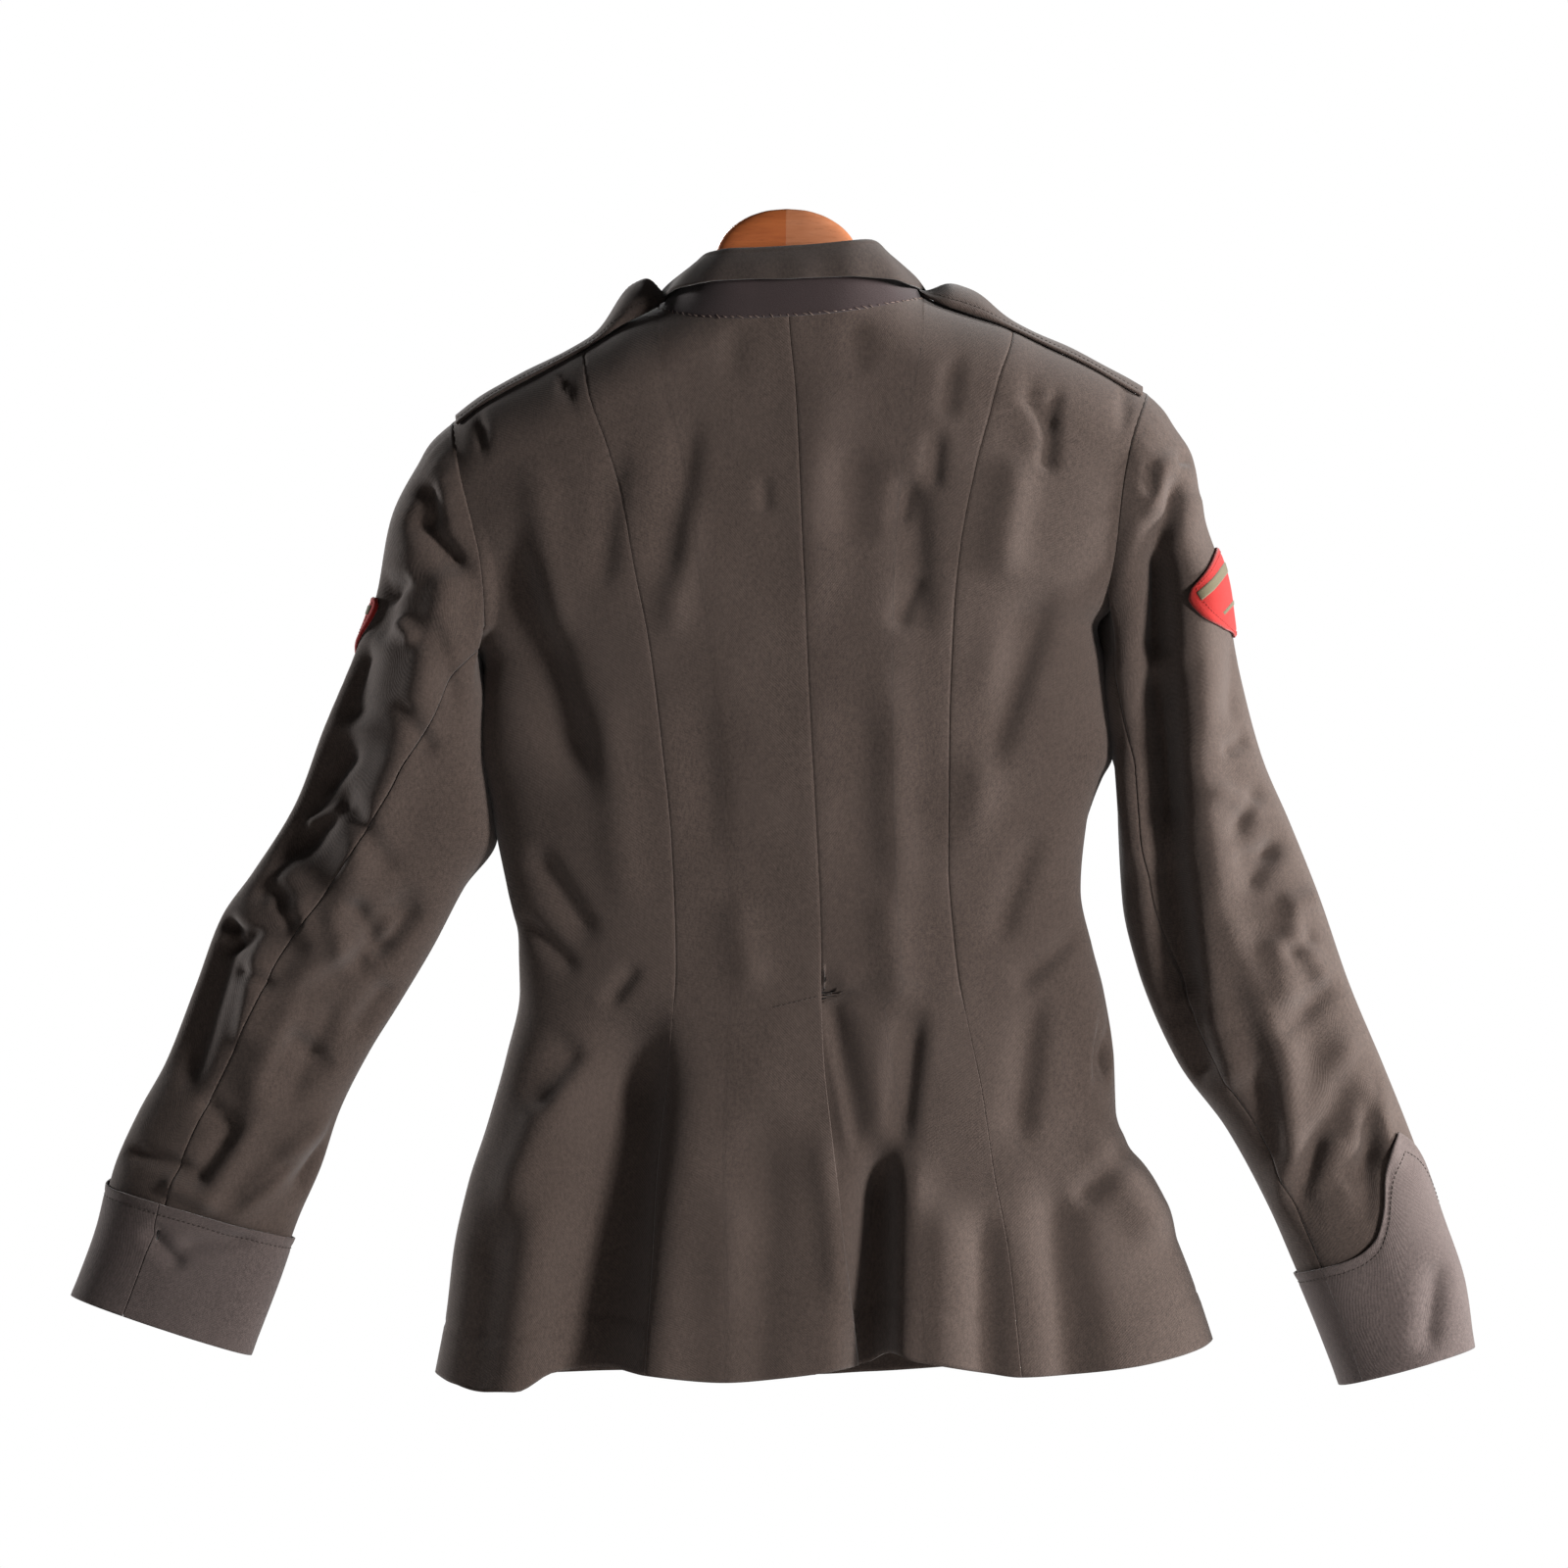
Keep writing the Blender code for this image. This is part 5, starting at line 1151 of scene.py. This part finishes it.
# %% Stitches
def stitches(name, path, normal, length, gap, thick, material, lean=0.0, lift=0.1, uneven=0.06):
    """Threads along a path: each is a small spindle of six sides, its middle above the cloth."""
    step = np.concatenate([[0], np.cumsum(np.linalg.norm(np.diff(path, axis=0), axis=1))])
    starts = np.arange(0.5, step[-1] - length, length + gap)
    chance = np.random.default_rng(len(name))
    jitter = chance.normal(0, uneven, (2, len(starts))) * length
    lean = lean * (1 + 4 * uneven * chance.uniform(-1, 1, (len(starts), 1)))
    a, b = starts + jitter[0], starts + length + jitter[1]

    def at(values, way):
        return np.stack([np.interp(way, step, values[:, k]) for k in range(3)], -1)

    first, last, n = at(path, a), at(path, b), unit(at(normal, (a + b) / 2))
    along = unit(last - first)
    side = unit(np.cross(along, n))
    first, last = first - side * lean / 2, last + side * lean / 2
    along = unit(last - first)
    side = unit(np.cross(along, n))
    rings, sides = np.array([0.0, 0.12, 0.35, 0.65, 0.88, 1.0]), 6
    thin = np.array([0.35, 0.8, 1, 1, 0.8, 0.35])
    high = np.array([-0.6, -0.05, 0.25, 0.25, -0.05, -0.6])
    turn = np.arange(sides) * 2 * np.pi / sides
    centre = first[:, None] + (last - first)[:, None] * rings[:, None]
    centre = centre + n[:, None] * (high * thick + lift)[:, None]
    circle = side[:, None, None] * np.cos(turn)[:, None] + n[:, None, None] * np.sin(turn)[:, None]
    points = centre[:, :, None] + circle * (thin * thick / 2)[:, None, None]
    count = len(first)
    base = np.arange(count)[:, None, None] * len(rings) * sides
    r, k = np.meshgrid(np.arange(len(rings) - 1), np.arange(sides), indexing="ij")
    after = (k + 1) % sides
    quads = np.stack([r * sides + k, r * sides + after, (r + 1) * sides + after, (r + 1) * sides + k], -1)
    quads = quads.reshape(-1, 4)
    caps = np.array([[0, 5, 4, 3], [0, 3, 2, 1], [30, 31, 32, 33], [30, 33, 34, 35]])
    faces = (np.concatenate([quads[:, ::-1], caps[:, ::-1]]) + base).reshape(-1, 4)
    p = points.reshape(-1, 3)
    one, two, three, four = (p[faces[:, j]] for j in range(4))
    volume = (one * np.cross(two, three)).sum() + (one * np.cross(three, four)).sum()
    obj = finish_mesh(name, p, faces if volume > 0 else faces[:, ::-1], 4, material)
    print(f"{name}: {count} threads")


corner = np.linspace(0, 4, 5)
round_patch = np.linspace(0, 4, 400)
PATCH_RING = (np.interp(round_patch, corner, [0.05, 0.95, 0.95, 0.05, 0.05]),
              np.interp(round_patch, corner, [0.95, 0.95, 0.05, 0.05, 0.95]))
for hand in SIGN:
    stitches("strap_stitches_" + hand, *STRAP_EDGE[hand], 2.1, 0.7, 0.5, THREAD)
    stitches("patch_stitches_" + hand, *on_piece("patch_" + hand, *PATCH_RING), 1.7, 0.6, 0.4, RED_THREAD)
    for name in ("cuff_top_", "cuff_under_"):
        line = CUFF_EDGE[name + hand]
        normal = MADE[name + hand][1][6 if FINE == 1 else 4]  # of the row nearest to the stitches
        stitches("cuff_stitches_" + name[5:] + hand, line, normal, 2.3, 0.8, 0.5, THREAD)
middle = slice(len(ways) // 6, -len(ways) // 6)
stitches("neck_stitches", (stand[0] + UP * 0.8)[middle], stand_n[0][middle], 2.7, 2.0, 0.5, PALE_THREAD,
         lean=1.5, lift=0.2, uneven=0.22)
x = np.linspace(-9, 19, 40)
z = np.interp(x, [-9, 19], [-483, -476])
stitches("vent_stitches", *on_body(x, z, 1, 0.25), 2.4, 0.8, 0.5, THREAD)

# %% [markdown]
# ## Buttons and hanger
# Three plain buttons close the hidden front. The hanger is two pieces of beech glued in the middle,
# one darker than the other. It is built again from a table of its profile, with its grain, and its CAD solids
# are hidden.

# %% Buttons and hanger
for name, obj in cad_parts.items():
    if name.startswith("button"):
        obj.data.materials.clear()
        obj.data.materials.append(HORN)
HANGER = table("x top", [(0, 0), (10, -0.8), (20, -3.4), (30, -8.6), (38, -16), (43, -25.5), (46, -38),
                         (52, -51), (62, -66)])
HANGER_JOINT, HANGER_END = -0.6, {"left": -194.0, "right": 208.0}
for hand, sign in SIGN.items():
    first, last = HANGER_JOINT, HANGER_END[hand]
    near = np.concatenate([[0, 0.03], np.linspace(0.5, 46, spread(90))])
    x = np.concatenate([first + sign * near, np.linspace(first + sign * 47, last, spread(70))])
    inner = through(HANGER["x"], HANGER["top"], np.minimum(np.abs(x), 62.0))
    arm = ridge(x) - 3.5 - 6 * np.exp(-(((np.abs(x) - 78) / 16) ** 2))
    mix = ease((np.abs(x) - 58) / 24)
    high = np.where(np.abs(x) < 58, inner, np.minimum(inner * (1 - mix) + arm * mix, arm))
    arms = ease((np.abs(x) - 45) / 60)
    low = np.minimum(-78 * (1 - arms) + (high - 26 + 10 * ease((np.abs(x) - 120) / 80)) * arms, high - 8)
    half = 9.5 - 2.5 * arms
    turn = np.linspace(0, 2 * np.pi, spread(64), endpoint=False)
    c, s = np.cos(turn), np.sin(turn)
    py = half[:, None] * np.sign(s) * np.abs(s) ** 0.7
    pz = (high + low)[:, None] / 2 + (high - low)[:, None] / 2 * np.sign(c) * np.abs(c) ** 0.75
    points = np.stack([np.broadcast_to(x[:, None], py.shape), py, pz], -1)
    rows, count = py.shape
    r, k = np.meshgrid(np.arange(rows - 1), np.arange(count), indexing="ij")
    after = (k + 1) % count
    quads = np.stack([r * count + k, r * count + after, (r + 1) * count + after, (r + 1) * count + k], -1)
    quads = quads.reshape(-1, 4)
    ends = [np.arange(count)[::-1], (rows - 1) * count + np.arange(count)]
    faces = np.concatenate([quads.ravel(), *ends])
    sizes = np.concatenate([np.full(len(quads), 4), [count, count]])
    p = points.reshape(-1, 3)
    one, two, three = (p[quads[:, j]] for j in range(3))
    if (one * np.cross(two, three)).sum() < 0:
        faces = np.concatenate([quads[:, ::-1].ravel(), *(e[::-1] for e in ends)])
    obj = finish_mesh("hanger_" + hand + "_wood", p, faces, sizes, WOOD[hand])
    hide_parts("hanger_" + hand)
    print(f"hanger_{hand}: {len(sizes)} faces")

# %% [markdown]
# ## Room
# A pale floor lies well below the hanging jacket, and a white surround gives little light itself. The
# key lamp stands far to the right, so it rakes the back and draws its folds. A lamp at each side, a weak
# fill and one lamp for the front keep the rest readable. The camera looks at the back from the height of
# the jacket's middle.

# %% Room
def lamp(name, place_m, aim_m, size, power, colour=(1, 1, 1)):
    light = bpy.data.lights.new(name, "AREA")
    light.shape, light.size, light.energy, light.color = "DISK", size, power, colour
    obj = bpy.data.objects.new(name, light)
    obj.location = place_m
    aim = Vector(np.array(aim_m) - np.array(place_m))
    obj.rotation_euler = aim.to_track_quat("-Z", "Y").to_euler()
    bpy.context.scene.collection.objects.link(obj)


AIM = (0.0, 0.0, -0.36)
lamp("key", (2.7, -1.75, 0.1), AIM, 0.6, 132)
lamp("right_side", (3.2, 0.0, 0.1), AIM, 0.6, 190)
lamp("left_side", (-2.9, 1.5, 0.1), AIM, 0.6, 90)
lamp("fill", (-1.6, -3.4, 0.9), AIM, 1.6, 3)
lamp("front", (-1.4, 3.2, 1.0), AIM, 1.2, 60)

floor_paint = Paint("pale_floor", 0.9)
floor_paint.shader.inputs["Base Color"].default_value = (0.55, 0.55, 0.55, 1)
bpy.ops.mesh.primitive_plane_add(size=6, location=(0, 0, -1.9))
floor = bpy.context.object
floor.name = "floor"
floor.data.materials.append(floor_paint.material)

world = bpy.data.worlds.new("surround")
bpy.context.scene.world = world
world.use_nodes = True
sky = world.node_tree.nodes
seen = sky.new("ShaderNodeLightPath")
share = sky.new("ShaderNodeMapRange")
share.inputs["To Min"].default_value, share.inputs["To Max"].default_value = 0.03, 1.0
world.node_tree.links.new(seen.outputs["Is Camera Ray"], share.inputs["Value"])
world.node_tree.links.new(share.outputs[0], sky["Background"].inputs[1])
sky["Background"].inputs[0].default_value = (1, 1, 1, 1)
bpy.context.scene.view_settings.view_transform = "Standard"

WIDE = 0.944  # metres across the photo at the jacket's back
AWAY = 4.2
camera = bpy.data.cameras.new("camera")
camera.sensor_width = 36.0
camera.lens = 36.0 * (AWAY - 0.03) / WIDE
eye = bpy.data.objects.new("camera", camera)
eye.location = (-0.0018, -AWAY, -0.3487)
eye.rotation_euler = (np.pi / 2, 0, 0)
bpy.context.scene.collection.objects.link(eye)
bpy.context.scene.camera = eye
